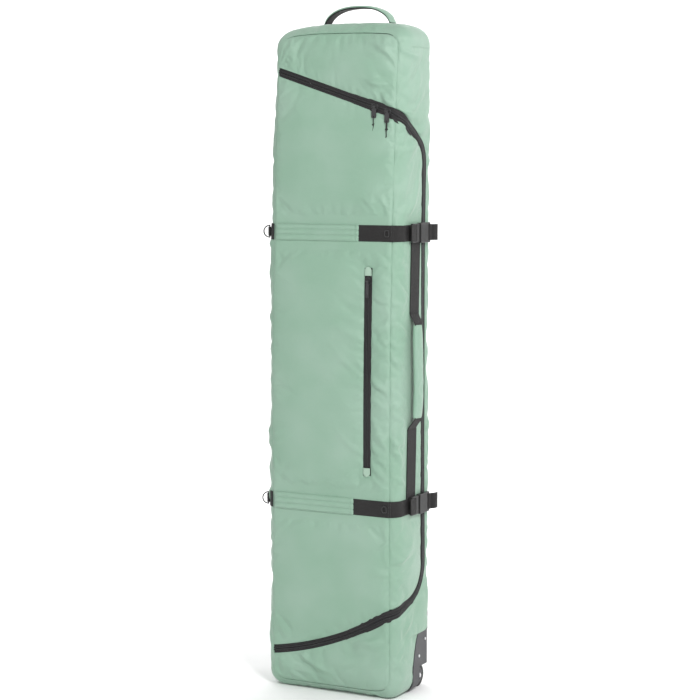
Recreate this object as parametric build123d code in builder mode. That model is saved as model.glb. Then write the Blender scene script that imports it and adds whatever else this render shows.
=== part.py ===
from build123d import *
from functools import lru_cache
from math import asin, atan2, cos, hypot, pi, radians, sin, sqrt, tan
import os

# A wheeled snowboard bag standing on its base: a sewn body, a zipped lid, straps, handles and wheels.
# Millimetres, +Z up. The origin is the centre of the base. The lid is on the front, which faces -Y, and it
# folds about its left edge. Depth means distance inside the bag's outer surface, negative outside it.

# Overall sizes of the filled bag
BAG_HEIGHT = 1580.0
BAG_WIDTH = 350.0
BAG_DEPTH = 190.0
LEAN_START = 620.0  # the front is upright to here, then leans back in one long arc
LEAN = 43.0  # how far it has leaned back at the top
SIDE_RADIUS = 30.0  # rounding between the front or back and the sides
TOP_RADIUS = 40.0  # rounding between the top and the front or back
FRONT_BASE_RADIUS = 40.0
BACK_BASE_RADIUS = 45.0

# Panels and seams
PANEL = 5.0  # padded cloth
SEAM_INSET = 18.0  # the front and back panels stop this far inside the outline
SEAM_RADIUS = 36.0
END_GUSSET = 40.0  # height of the top and bottom gussets
FOLD_GAP = 0.5  # between the lid's folding edge and the body

# The main zipper's course: along the front above, down the right side, and back along the front below
UPPER_LEFT_DROP = 105.0  # heights on the front, down from the top of the bag
UPPER_RIGHT_DROP = 208.0
LOWER_LEFT = 90.0  # heights on the front, up from the floor
LOWER_MIDDLE = 130.0
LOWER_RIGHT = 208.0
SIDE_RUN_FROM_BACK = 47.0  # where the upright run on the side lies
SIDE_UPPER_DROP = 78.0  # fall from the seam to the upright run
SIDE_LOWER_RISE = 38.0
SIDE_UPPER_BEND = 60.0
SIDE_LOWER_BEND = 88.0

# Zipper sections
ZIP_OPENING = 20.0  # between the lid's cloth and the body's
CHAIN = 9.0  # the two coils together
CHAIN_GAP = 0.6  # between the two coils
TAPE_GAP = 4.4  # between the two tapes, under the coils
COIL_TOP = 0.5  # depths
TAPE_TOP = 2.0
TAPE_BOTTOM = 3.4

# Sliders and pulls
SLIDER_LENGTH = 18.0
SLIDER_WIDTH = CHAIN + 3.0
SLIDER_CORNER = 3.0
SLIDER_LIP_CLEARANCE = 0.7  # lips to the chain's edges
SLIDER_PLATE = 1.2
SLIDER_FLOAT = 0.3  # upper plate above the cloth's surface
SLIDER_UNDER = 0.6  # lower plate below the tape
WEDGE_LENGTH = 4.0
WEDGE_WIDTH = 2.4
WEDGE_OFFSET = 5.0  # towards the slider's nose
BAR_RADIUS = 0.9
BAR_CLEARANCE = 0.05
BAR_RISE = 2.3  # bar above the upper plate
POST = 1.2
EYE_LENGTH = 6.0
EYE_WALL = 1.05
TAB_THICK = 1.6
TAB_NECK = 5.5
LEFT_SLIDER_FROM_SEAM = 53.0  # in from the right seam
RIGHT_SLIDER_FROM_SEAM = 19.0
MAIN_TAB_LENGTH = 27.0
MAIN_TAB_WIDTH = 12.0
TAB_HOLE_RADIUS = 1.5
TAB_HOLE_INSET = 4.8  # from the tab's free end
CORD = 2.0  # pull cord's diameter
CORD_SPREAD = 2.3  # each strand off the tab's middle plane at the hole

# The pocket in the lid
POCKET_FROM_SIDE = 77.0  # zipper's middle, in from the right side
POCKET_BELOW_STRAP = 80.0  # zipper's upper end below the upper strap
POCKET_ABOVE_STRAP = 76.0  # zipper's lower end above the lower strap
POCKET_OPENING = 16.0
POCKET_CHAIN = 6.6
GARAGE_LENGTH = 21.0
GARAGE_WIDTH = 18.0
GARAGE_THICK = 1.5
POCKET_BAG_TOP = 8.0  # depths
POCKET_BAG_BOTTOM = 10.5
POCKET_BAG_FROM_SIDES = (115.0, 45.0)  # in from the left and the right side
POCKET_BAG_MARGIN = 15.0  # past the zipper's ends
POCKET_TAB_LENGTH = 38.0
POCKET_TAB_WIDTH = 8.0

# Straps and buckles
UPPER_STRAP_DROP = 482.0
LOWER_STRAP = 457.0
WEBBING = 2.0
STRAP_WIDTH = 38.0
SLEEVE_THICK = 7.0
SLEEVE_WIDTH = STRAP_WIDTH + 2.0
SLEEVE_FROM_SIDE = 25.0  # left end of the sleeves, in from the bag's left side
SLEEVE_ENDS = (103.0, 111.0)  # right ends of the upper and lower sleeve, in from the right side
REAR_STRAP_REACH = 115.0  # how far each rear strap runs across the back, from the right side
SLOT = 6.0
SLOT_WIDTH = STRAP_WIDTH + 1.0
BUCKLE_WIDTH = SLOT_WIDTH + 8.0
BUCKLE_FLOAT = WEBBING + 0.5  # over the cloth
BUCKLE_THICK = 10.5
BUCKLE_BODY = 40.5
BUCKLE_TO_RUN = 2.0  # the body's rear end to the zipper's upright run
BUCKLE_REAR = 14.0  # the thin rear end that takes the rear strap
BUCKLE_LAP = 4.0  # how far the rear end goes into the body
BUCKLE_CORNER = 4.0
WINDOW = 16.0  # the side openings for the prongs
WINDOW_FROM_START = 18.5
PLUG_WIDTH = SLOT_WIDTH + 5.0
PLUG_FLOAT = BUCKLE_FLOAT + 2.0
PLUG_THICK = 6.0
PLUG_LENGTH = 36.0
PLUG_GAP = 1.5  # plug's shoulder to the receptacle
PLUG_FRAME = 4.0  # round the plug's slots
PRONG_INSET = 6.0  # prongs' tips, in from the body's rear end
PRONG_THICK = 4.0
PRONG_WIDTH = 6.0
PRONG_FROM_EDGE = 4.0  # outer prongs' middles, in from the slot's ends
GUIDE_WIDTH = 8.0
PRONG_CLEARANCE = 0.5
BAR_WIDTH = 6.0  # the crossbar between the plug's slots
REAR_BAR = 3.0  # behind the receptacle's slot
STRAP_LAP = 1.0  # front strap past the plug's edge
LOOP_CLEARANCE = 0.4
LOOP_THICK = 1.6
TAIL_LENGTH = 20.0
TAIL_POINTS = {  # each rear strap's loose tail, seen from above
    "upper": [(0, 8), (14, 22), (19, 27), (18, 10), (6, -4)],
    "lower": [(0, 4), (14, 30), (22, 36), (21, 6), (8, -8)],
}
KEEPER_FROM_SIDE = 29.0
KEEPER = (13.0, 17.0)
KEEPER_HOLE = (8.2, 12.2)
KEEPER_THICK = 2.4

# Haul handle on the side
SIDE_WEBBING_WIDTH = 50.0
SIDE_WEBBING_TO_RUN = (71.0, 47.0)  # its middle at the lower and the upper strap, before the upright run
GRIP_LENGTH = 219.0
GRIP_WIDTH = 40.0
GRIP_THICK = 18.0
GRIP_STANDOFF = 7.0
GRIP_TO_RUN = 60.0
GRIP_DROP = 3.0  # below the middle between the straps
GRIP_GAP = 0.4  # between a moving handle and what it's sewn to
RAMP_LENGTH = 26.0

# Top handle
HANDLE_SPAN = 166.0
HANDLE_FROM_BACK = 40.0
HANDLE_LIFT = 17.0  # where the arch starts above the bag
HANDLE_RISE = 45.0
HANDLE_LEG = 17.0  # how far each leg leans in
HANDLE_WEBBING = 3.0
HANDLE_COVER = 5.0
HANDLE_WIDTH = 32.0
HANDLE_RADIUS = 18.0

# Rings on the left corner
RING_RADIUS = 14.0
RING_WIRE = 1.5
RING_CLEARANCE = 0.1
RING_LOOP_WALL = 2.0
RING_LOOP_HEIGHT = 22.0
RING_FACING = 28.35  # degrees from -X towards -Y
RING_TAB_REACH = 45.0
RING_TAB_START = 3.2  # back from the seam, clear of the folded lid
RING_LOOP_SINK = 0.3  # of the loop's wall into the tab

# Wheels and their housings
HOUSING_WIDTH = 60.0
HOUSING_WALL = 3.0
HOUSING_HEIGHT = 142.0
HOUSING_BASE_REACH = 97.0  # forwards from the back, at the base and at the top
HOUSING_TOP_REACH = 71.0
TRIM_HEIGHT = 204.0
TRIM_THICK = 1.2
WHEEL_RADIUS = 27.5
WHEEL_WIDTH = 19.0
WHEEL_TUCK = 3.5  # inside the bag's back
WHEEL_FROM_SIDE = 18.0  # outer face, in from the bag's side
WHEEL_CLEARANCE = 4.0
WHEEL_GAP = 0.5  # wheel to the wall beside it
HUB_RADIUS = 18.0
HUB_BORE_CLEARANCE = 0.05
HUB_HOLES = 5
HUB_HOLE_RADIUS = 3.2
HUB_HOLE_CIRCLE = 11.0
TYRE_ROUNDING = 3.0
AXLE_RADIUS = 4.0
AXLE_HEAD = 6.0
AXLE_HEAD_THICK = 3.0
NUT_THICK = 6.0
NUT_RADIUS = 6.8
THREAD_PAST_NUT = 2.0
THREAD_CLEARANCE = 0.02
SCREW_RADIUS = 1.5
SCREW_HEAD = 3.5
SCREW_HEAD_THICK = 1.6
SCREW_LENGTH = 5.5
SCREW_CLEARANCE = 0.05
SIDE_SCREWS = ((67.0, 85.2), (35.0, 120.7))  # in from the back, and height
BACK_SCREW = (40.0, 99.4)  # in from the side, and height

# Inner pieces
LINER_TOP = 6.0
BACK_FOAM_BOTTOM = 11.0
LID_FOAM_TOP = 11.0
LID_FOAM_BOTTOM = 15.0
FOAM_INSET = 35.0
BOARD_THICK = 4.0
BOARD_CORNER = 15.0
BOARD_CLEARANCE = 4.0  # to the axle nuts

# Places that follow from the sizes
FRONT = -BAG_DEPTH / 2
BACK = BAG_DEPTH / 2
SIDE = BAG_WIDTH / 2
SEAM = SIDE - SEAM_INSET
UPPER_LEFT = BAG_HEIGHT - UPPER_LEFT_DROP
UPPER_RIGHT = BAG_HEIGHT - UPPER_RIGHT_DROP
SIDE_RUN_Y = BACK - SIDE_RUN_FROM_BACK
LEFT_SLIDER_X = SEAM - LEFT_SLIDER_FROM_SEAM
RIGHT_SLIDER_X = SEAM - RIGHT_SLIDER_FROM_SEAM
BUCKLE_BODY_END = SIDE_RUN_Y - BUCKLE_TO_RUN
BUCKLE_START = BUCKLE_BODY_END - BUCKLE_BODY
BUCKLE_END = BUCKLE_BODY_END + BUCKLE_REAR
PLUG_END = BUCKLE_START - PLUG_GAP
PLUG_START = PLUG_END - PLUG_LENGTH
PRONG_END = BUCKLE_BODY_END - PRONG_INSET
STRAP_END = PLUG_START + STRAP_LAP
UPPER_STRAP = BAG_HEIGHT - UPPER_STRAP_DROP
STRAPS = {"upper": UPPER_STRAP, "lower": LOWER_STRAP}
LEAN_RADIUS = ((BAG_HEIGHT - LEAN_START) ** 2 + LEAN**2) / (2 * LEAN)
ZIP_SLOPE = atan2(UPPER_RIGHT - UPPER_LEFT, 2 * SEAM)
PLATE_TOP = SLIDER_FLOAT + SLIDER_PLATE
BAR_HEIGHT = PLATE_TOP + BAR_RISE
OUTSIDE = 60.0  # how far cutting shapes reach past the bag
os.makedirs("parts", exist_ok=True)


def keep(piece, name):
    """Labels a finished piece and writes its file."""
    piece.part.label = name
    export_step(piece.part, f"parts/{name}.step")


# ---- the bag's surface ----


def front_y(z):
    """Where the front face stands at height z."""
    rise = max(z - LEAN_START, 0)
    return FRONT + LEAN_RADIUS - sqrt(LEAN_RADIUS**2 - rise**2)


def seam_y(z):
    """Where the surface stands at the front panel's side seam."""
    return front_y(z) + SIDE_RADIUS - sqrt(SIDE_RADIUS**2 - (SIDE_RADIUS - SEAM_INSET) ** 2)


def front_frame(x, z):
    """A plane on the front face: local X to the right, Y up the face, Z straight out."""
    lean = asin(max(z - LEAN_START, 0) / LEAN_RADIUS)
    return Plane(origin=(x, front_y(z), z), x_dir=(1, 0, 0), z_dir=(0, -cos(lean), sin(lean)))


def side_frame(y, z):
    """A plane on the right side: local X towards the back, Y up, Z straight out."""
    return Plane(origin=(SIDE, y, z), x_dir=(0, 1, 0), z_dir=(1, 0, 0))


def turned(frame, angle):
    """A frame turned about its own Z by an angle in radians."""
    return Plane(
        origin=frame.origin, x_dir=frame.x_dir * cos(angle) + frame.y_dir * sin(angle), z_dir=frame.z_dir
    )


def across(frame, height):
    """A plane square to a frame's X, with its origin above the frame's by height."""
    return Plane(origin=frame.from_local_coords((0, 0, height)), x_dir=frame.y_dir, z_dir=frame.x_dir)


@lru_cache(maxsize=None)
def bag_solid(depth):
    """The filled bag's shape with its surface moved in by depth."""
    top = BAG_HEIGHT - depth
    middle = (LEAN_START + top) / 2
    with BuildPart() as solid:
        with BuildSketch(Plane.YZ):
            with BuildLine():
                foot = (FRONT + depth, LEAN_START)
                head = (front_y(top) + depth, top)
                Polyline(foot, (FRONT + depth, depth), (BACK - depth, depth), (BACK - depth, top), head)
                ThreePointArc(foot, (front_y(middle) + depth, middle), head)
            make_face()
            fillet(vertices().group_by(Axis.Y)[0].sort_by(Axis.X)[0], FRONT_BASE_RADIUS - depth)
            fillet(vertices().group_by(Axis.Y)[0].sort_by(Axis.X)[-1], BACK_BASE_RADIUS - depth)
            fillet(vertices().group_by(Axis.Y)[-1], TOP_RADIUS - depth)
        extrude(amount=SIDE - depth, both=True)
        by_side = solid.edges().group_by(Axis.X)
        fillet(by_side[0] + by_side[-1], SIDE_RADIUS - depth)
    return solid.part


def skin(outer, inner):
    """Adds the layer of the bag between two depths to the piece being made."""
    add(bag_solid(outer))
    add(bag_solid(inner), mode=Mode.SUBTRACT)


def block(x, y, z, mode=Mode.ADD):
    """A box between two values of each of x, y and z."""
    with Locations([(sum(x) / 2, sum(y) / 2, sum(z) / 2)]):
        Box(abs(x[1] - x[0]), abs(y[1] - y[0]), abs(z[1] - z[0]), mode=mode)


def box_region(x, y, z):
    """A box as a region to keep or cut."""
    with BuildPart() as region:
        block(x, y, z)
    return region.part


def cut(*regions):
    """Takes regions away from the piece being made."""
    for region in regions:
        add(region, mode=Mode.SUBTRACT)


def only(*regions):
    """Keeps only what lies in all the regions."""
    for region in regions:
        add(region, mode=Mode.INTERSECT)


# ---- regions that share the surface out among the pieces ----

EVERYWHERE = (-BAG_HEIGHT, 2 * BAG_HEIGHT)


def seam_region(side):
    """Inside the seam outline, on the front half (side -1) or the back half (side 1)."""
    with BuildPart() as region:
        with BuildSketch(Plane.XZ):
            with Locations((0, BAG_HEIGHT / 2)):
                RectangleRounded(2 * SEAM, BAG_HEIGHT - 2 * SEAM_INSET, SEAM_RADIUS)
        extrude(amount=-side * (BAG_DEPTH / 2 + OUTSIDE))
    return region.part


def side_zip_corners():
    """The corners of the zipper's course on the side, as (y, z), from past the front, above, to below."""
    above = (SIDE_RUN_Y, UPPER_RIGHT - SIDE_UPPER_DROP)
    below = (SIDE_RUN_Y, LOWER_RIGHT + SIDE_LOWER_RISE)
    corners = []
    for corner, seam_z in ((above, UPPER_RIGHT), (below, LOWER_RIGHT)):
        reach = 1 + OUTSIDE / (corner[0] - seam_y(seam_z))
        start = seam_y(seam_z) - corner[0]
        corners.append((corner[0] + start * reach, corner[1] + (seam_z - corner[1]) * reach))
    return corners[0], above, below, corners[1]


def lower_arc():
    """The zipper's course on the front, below."""
    return ThreePointArc((-SEAM, LOWER_LEFT), (0, LOWER_MIDDLE), (SEAM, LOWER_RIGHT))


def lid_opening():
    """All that the zipper encloses, on the front and on the side."""
    start, above, below, end = side_zip_corners()
    with BuildPart() as region:
        with BuildSketch(Plane.XZ):
            with BuildLine():
                Line((-SEAM, UPPER_LEFT), (SEAM, UPPER_RIGHT))
                Line((SEAM, UPPER_RIGHT), (SEAM, LOWER_RIGHT))
                lower_arc()
                Line((-SEAM, LOWER_LEFT), (-SEAM, UPPER_LEFT))
            make_face()
        extrude(amount=BAG_DEPTH / 2 + OUTSIDE)
        with BuildSketch(Plane.YZ.offset(SEAM)):
            with BuildLine():
                FilletPolyline(start, above, below, end, radius=[SIDE_UPPER_BEND, SIDE_LOWER_BEND])
                Line(end, start)
            make_face()
        extrude(amount=OUTSIDE)
    return region.part


@lru_cache(maxsize=None)
def zipper_band(width):
    """A band of a given width along the whole of the zipper's course."""
    with BuildPart() as band:
        with BuildSketch(Plane.XZ):
            with BuildLine():
                rise = (UPPER_LEFT - UPPER_RIGHT) / (2 * SEAM) * OUTSIDE
                Line((-SEAM - OUTSIDE, UPPER_LEFT + rise), (SEAM + OUTSIDE, UPPER_RIGHT - rise))
            trace(line_width=width)
            with BuildLine():
                course = lower_arc()
                first = course % 0
                last = course % 1
                Line(course @ 0 - first * OUTSIDE, course @ 0)
                Line(course @ 1, course @ 1 + last * OUTSIDE)
            trace(line_width=width)
        extrude(amount=BAG_DEPTH / 2 + OUTSIDE)
        only(box_region((-SEAM, SEAM), (-BAG_DEPTH, BAG_DEPTH), EVERYWHERE))
        with BuildSketch(Plane.YZ.offset(SEAM)):
            with BuildLine():
                FilletPolyline(*side_zip_corners(), radius=[SIDE_UPPER_BEND, SIDE_LOWER_BEND])
            trace(line_width=width)
        extrude(amount=OUTSIDE)
    return band.part


def housing_region():
    """What the right wheel housing takes from the bag's corner."""
    low, high = BACK - HOUSING_BASE_REACH, BACK - HOUSING_TOP_REACH
    straight = HOUSING_HEIGHT / 4
    middle = (low + (high - low) / 4, (straight + HOUSING_HEIGHT) / 2)
    with BuildPart() as region:
        with BuildSketch(Plane.YZ.offset(SIDE - HOUSING_WIDTH)):
            with BuildLine():
                Polyline((high, HOUSING_HEIGHT), (BACK + OUTSIDE, HOUSING_HEIGHT), (BACK + OUTSIDE, -OUTSIDE))
                Polyline((BACK + OUTSIDE, -OUTSIDE), (low, -OUTSIDE), (low, straight))
                ThreePointArc((low, straight), middle, (high, HOUSING_HEIGHT))
            make_face()
        extrude(amount=HOUSING_WIDTH + OUTSIDE)
    return region.part


FRONT_SEAM = seam_region(-1)
BACK_SEAM = seam_region(1)
LID_OPENING = lid_opening()
ZIP_CUT = zipper_band(ZIP_OPENING)
HOUSING = housing_region()
HOUSING_LEFT = HOUSING.mirror(Plane.YZ)
RIGHT_HALF = box_region((0, BAG_WIDTH), (-BAG_DEPTH, BAG_DEPTH), EVERYWHERE)
LEFT_HALF = box_region((-BAG_WIDTH, 0), (-BAG_DEPTH, BAG_DEPTH), EVERYWHERE)
UPPER_HALF = box_region((-BAG_WIDTH, BAG_WIDTH), (-BAG_DEPTH, BAG_DEPTH), (BAG_HEIGHT / 2, EVERYWHERE[1]))
LOWER_HALF = box_region((-BAG_WIDTH, BAG_WIDTH), (-BAG_DEPTH, BAG_DEPTH), (EVERYWHERE[0], BAG_HEIGHT / 2))
FOLD_STRIP = box_region((-BAG_WIDTH, -SEAM + FOLD_GAP), (-BAG_DEPTH, BAG_DEPTH), EVERYWHERE)
SIDE_BAND = box_region(
    (-BAG_WIDTH, BAG_WIDTH), (-BAG_DEPTH, BAG_DEPTH), (END_GUSSET, BAG_HEIGHT - END_GUSSET)
)


# ---- the body's sewn panels ----

with BuildPart() as back_panel:
    skin(0, PANEL)
    only(BACK_SEAM)
    cut(HOUSING, HOUSING_LEFT)
keep(back_panel, "back_panel")

with BuildPart() as left_gusset:
    skin(0, PANEL)
    only(LEFT_HALF, SIDE_BAND)
    cut(FRONT_SEAM, BACK_SEAM, HOUSING_LEFT)
keep(left_gusset, "left_gusset")

with BuildPart() as right_rear_gusset:
    skin(0, PANEL)
    only(RIGHT_HALF, SIDE_BAND)
    cut(FRONT_SEAM, BACK_SEAM, LID_OPENING, ZIP_CUT, HOUSING)
keep(right_rear_gusset, "right_rear_gusset")

with BuildPart() as top_gusset:
    skin(0, PANEL)
    only(UPPER_HALF)
    cut(SIDE_BAND, FRONT_SEAM, BACK_SEAM)
keep(top_gusset, "top_gusset")

with BuildPart() as bottom_gusset:
    skin(0, PANEL)
    only(LOWER_HALF)
    cut(SIDE_BAND, FRONT_SEAM, BACK_SEAM, HOUSING, HOUSING_LEFT)
keep(bottom_gusset, "bottom_gusset")

with BuildPart() as front_top_panel:
    skin(0, PANEL)
    only(FRONT_SEAM, UPPER_HALF)
    cut(LID_OPENING, ZIP_CUT)
keep(front_top_panel, "front_top_panel")

with BuildPart() as front_bottom_panel:
    skin(0, PANEL)
    only(FRONT_SEAM, LOWER_HALF)
    cut(LID_OPENING, ZIP_CUT)
keep(front_bottom_panel, "front_bottom_panel")

# ---- the lid's sewn panels ----

POCKET_X = SIDE - POCKET_FROM_SIDE
POCKET_TOP = UPPER_STRAP - POCKET_BELOW_STRAP
POCKET_BOTTOM = LOWER_STRAP + POCKET_ABOVE_STRAP
IN_FRONT = (FRONT - OUTSIDE, 0)


def pocket_column(width):
    """The pocket zipper's opening, or a narrower band along its middle."""
    return box_region((POCKET_X - width / 2, POCKET_X + width / 2), IN_FRONT, (POCKET_BOTTOM, POCKET_TOP))


with BuildPart() as lid_front_panel:
    skin(0, PANEL)
    only(FRONT_SEAM, LID_OPENING)
    cut(ZIP_CUT, FOLD_STRIP, pocket_column(POCKET_OPENING))
keep(lid_front_panel, "lid_front_panel")

with BuildPart() as lid_side_panel:
    skin(0, PANEL)
    only(RIGHT_HALF, LID_OPENING)
    cut(FRONT_SEAM, ZIP_CUT)
keep(lid_side_panel, "lid_side_panel")

# ---- main zipper: a tape and a coil on each side of the opening ----


def diagonal_frame(x):
    """A plane on the front at the zipper's upper course, with local X along the zipper to the right."""
    z = UPPER_LEFT + (x + SEAM) * tan(ZIP_SLOPE)
    return turned(front_frame(x, z), ZIP_SLOPE)


def parted_chain():
    """The room between the two sliders, where their wedges hold the coils apart."""
    middle = (LEFT_SLIDER_X + RIGHT_SLIDER_X) / 2
    length = (RIGHT_SLIDER_X - LEFT_SLIDER_X) / cos(ZIP_SLOPE) - 2 * WEDGE_OFFSET + WEDGE_LENGTH + 2
    with BuildPart() as room:
        with BuildSketch(diagonal_frame(middle).offset(SLIDER_FLOAT)):
            Rectangle(length, WEDGE_WIDTH + 2 * CHAIN_GAP)
        extrude(amount=-TAPE_TOP - 2 * SLIDER_FLOAT)
    return room.part


for half, region in (("body", cut), ("lid", only)):
    with BuildPart() as zipper_tape:
        skin(TAPE_TOP, TAPE_BOTTOM)
        only(ZIP_CUT)
        cut(zipper_band(TAPE_GAP))
        region(LID_OPENING)
        if half == "lid":
            cut(FOLD_STRIP)
    keep(zipper_tape, f"zipper_tape_{half}")
    with BuildPart() as zipper_coil:
        skin(COIL_TOP, TAPE_TOP)
        only(zipper_band(CHAIN))
        cut(zipper_band(CHAIN_GAP), parted_chain())
        region(LID_OPENING)
        if half == "lid":
            cut(FOLD_STRIP)
    keep(zipper_coil, f"zipper_coil_{half}")

# ---- the pocket's zipper, its garages and the pocket bag behind it ----

POCKET_SLIDER_Z = POCKET_TOP - GARAGE_LENGTH - SLIDER_LENGTH / 2 - 1
POCKET_FRAME = turned(front_frame(POCKET_X, POCKET_SLIDER_Z), pi / 2)

with BuildPart() as pocket_tape:
    skin(TAPE_TOP, TAPE_BOTTOM)
    only(pocket_column(POCKET_OPENING))
    cut(pocket_column(TAPE_GAP))
keep(pocket_tape, "pocket_tape")


def pocket_wedge_room():
    """Where the pocket slider's wedge parts the coils."""
    with BuildPart() as room:
        with BuildSketch(POCKET_FRAME.offset(SLIDER_FLOAT)):
            with Locations((WEDGE_OFFSET, 0)):
                Rectangle(WEDGE_LENGTH + 2 * CHAIN_GAP, WEDGE_WIDTH + 2 * CHAIN_GAP)
        extrude(amount=-TAPE_TOP - 2 * SLIDER_FLOAT)
    return room.part


with BuildPart() as pocket_coil:
    skin(COIL_TOP, TAPE_TOP)
    only(pocket_column(POCKET_CHAIN))
    cut(pocket_column(CHAIN_GAP), pocket_wedge_room())
keep(pocket_coil, "pocket_coil")

GARAGE_X = (POCKET_X - GARAGE_WIDTH / 2, POCKET_X + GARAGE_WIDTH / 2)

with BuildPart() as pocket_garages:
    skin(-GARAGE_THICK, 0)
    upper_garage = box_region(GARAGE_X, IN_FRONT, (POCKET_TOP - GARAGE_LENGTH, POCKET_TOP + 1))
    lower_garage = box_region(GARAGE_X, IN_FRONT, (POCKET_BOTTOM - 1, POCKET_BOTTOM + GARAGE_LENGTH))
    only(upper_garage + lower_garage)
keep(pocket_garages, "pocket_garages")

with BuildPart() as pocket_bag:
    skin(POCKET_BAG_TOP, POCKET_BAG_BOTTOM)
    bag_x = (POCKET_BAG_FROM_SIDES[0] - SIDE, SIDE - POCKET_BAG_FROM_SIDES[1])
    only(box_region(bag_x, IN_FRONT, (POCKET_BOTTOM - POCKET_BAG_MARGIN, POCKET_TOP + POCKET_BAG_MARGIN)))
keep(pocket_bag, "pocket_bag")

# ---- inner pieces ----

with BuildPart() as back_foam:
    skin(LINER_TOP, BACK_FOAM_BOTTOM)
    foam_z = (2 * FOAM_INSET, BAG_HEIGHT - FOAM_INSET - PANEL)
    only(box_region((FOAM_INSET - SIDE, SIDE - FOAM_INSET), (BACK - 2 * BACK_FOAM_BOTTOM, BACK), foam_z))
keep(back_foam, "back_foam")

with BuildPart() as lid_foam:
    skin(LID_FOAM_TOP, LID_FOAM_BOTTOM)
    foam_z = (LOWER_RIGHT + FOAM_INSET, UPPER_RIGHT - FOAM_INSET)
    only(box_region((FOAM_INSET - SIDE, SIDE - FOAM_INSET), IN_FRONT, foam_z))
keep(lid_foam, "lid_foam")

WHEEL_Y = BACK - WHEEL_TUCK - WHEEL_RADIUS
WELL_FRONT = WHEEL_Y - WHEEL_RADIUS - WHEEL_CLEARANCE
WELL_TOP = 2 * WHEEL_RADIUS + WHEEL_CLEARANCE
WELL_INNER = SIDE - WHEEL_FROM_SIDE - WHEEL_WIDTH - WHEEL_GAP

with BuildPart() as base_board:
    half = WELL_INNER - HOUSING_WALL - NUT_THICK - BOARD_CLEARANCE
    front_edge = FRONT + FRONT_BASE_RADIUS - PANEL
    back_edge = BACK - BACK_BASE_RADIUS + PANEL
    with BuildSketch(Plane.XY.offset(LINER_TOP)):
        with Locations((0, (front_edge + back_edge) / 2)):
            RectangleRounded(2 * half, back_edge - front_edge, BOARD_CORNER)
    extrude(amount=BOARD_THICK)
keep(base_board, "base_board")

# ---- straps ----


def strap_band(z, width=STRAP_WIDTH):
    """The heights that a strap covers."""
    return (z - width / 2, z + width / 2)


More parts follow.
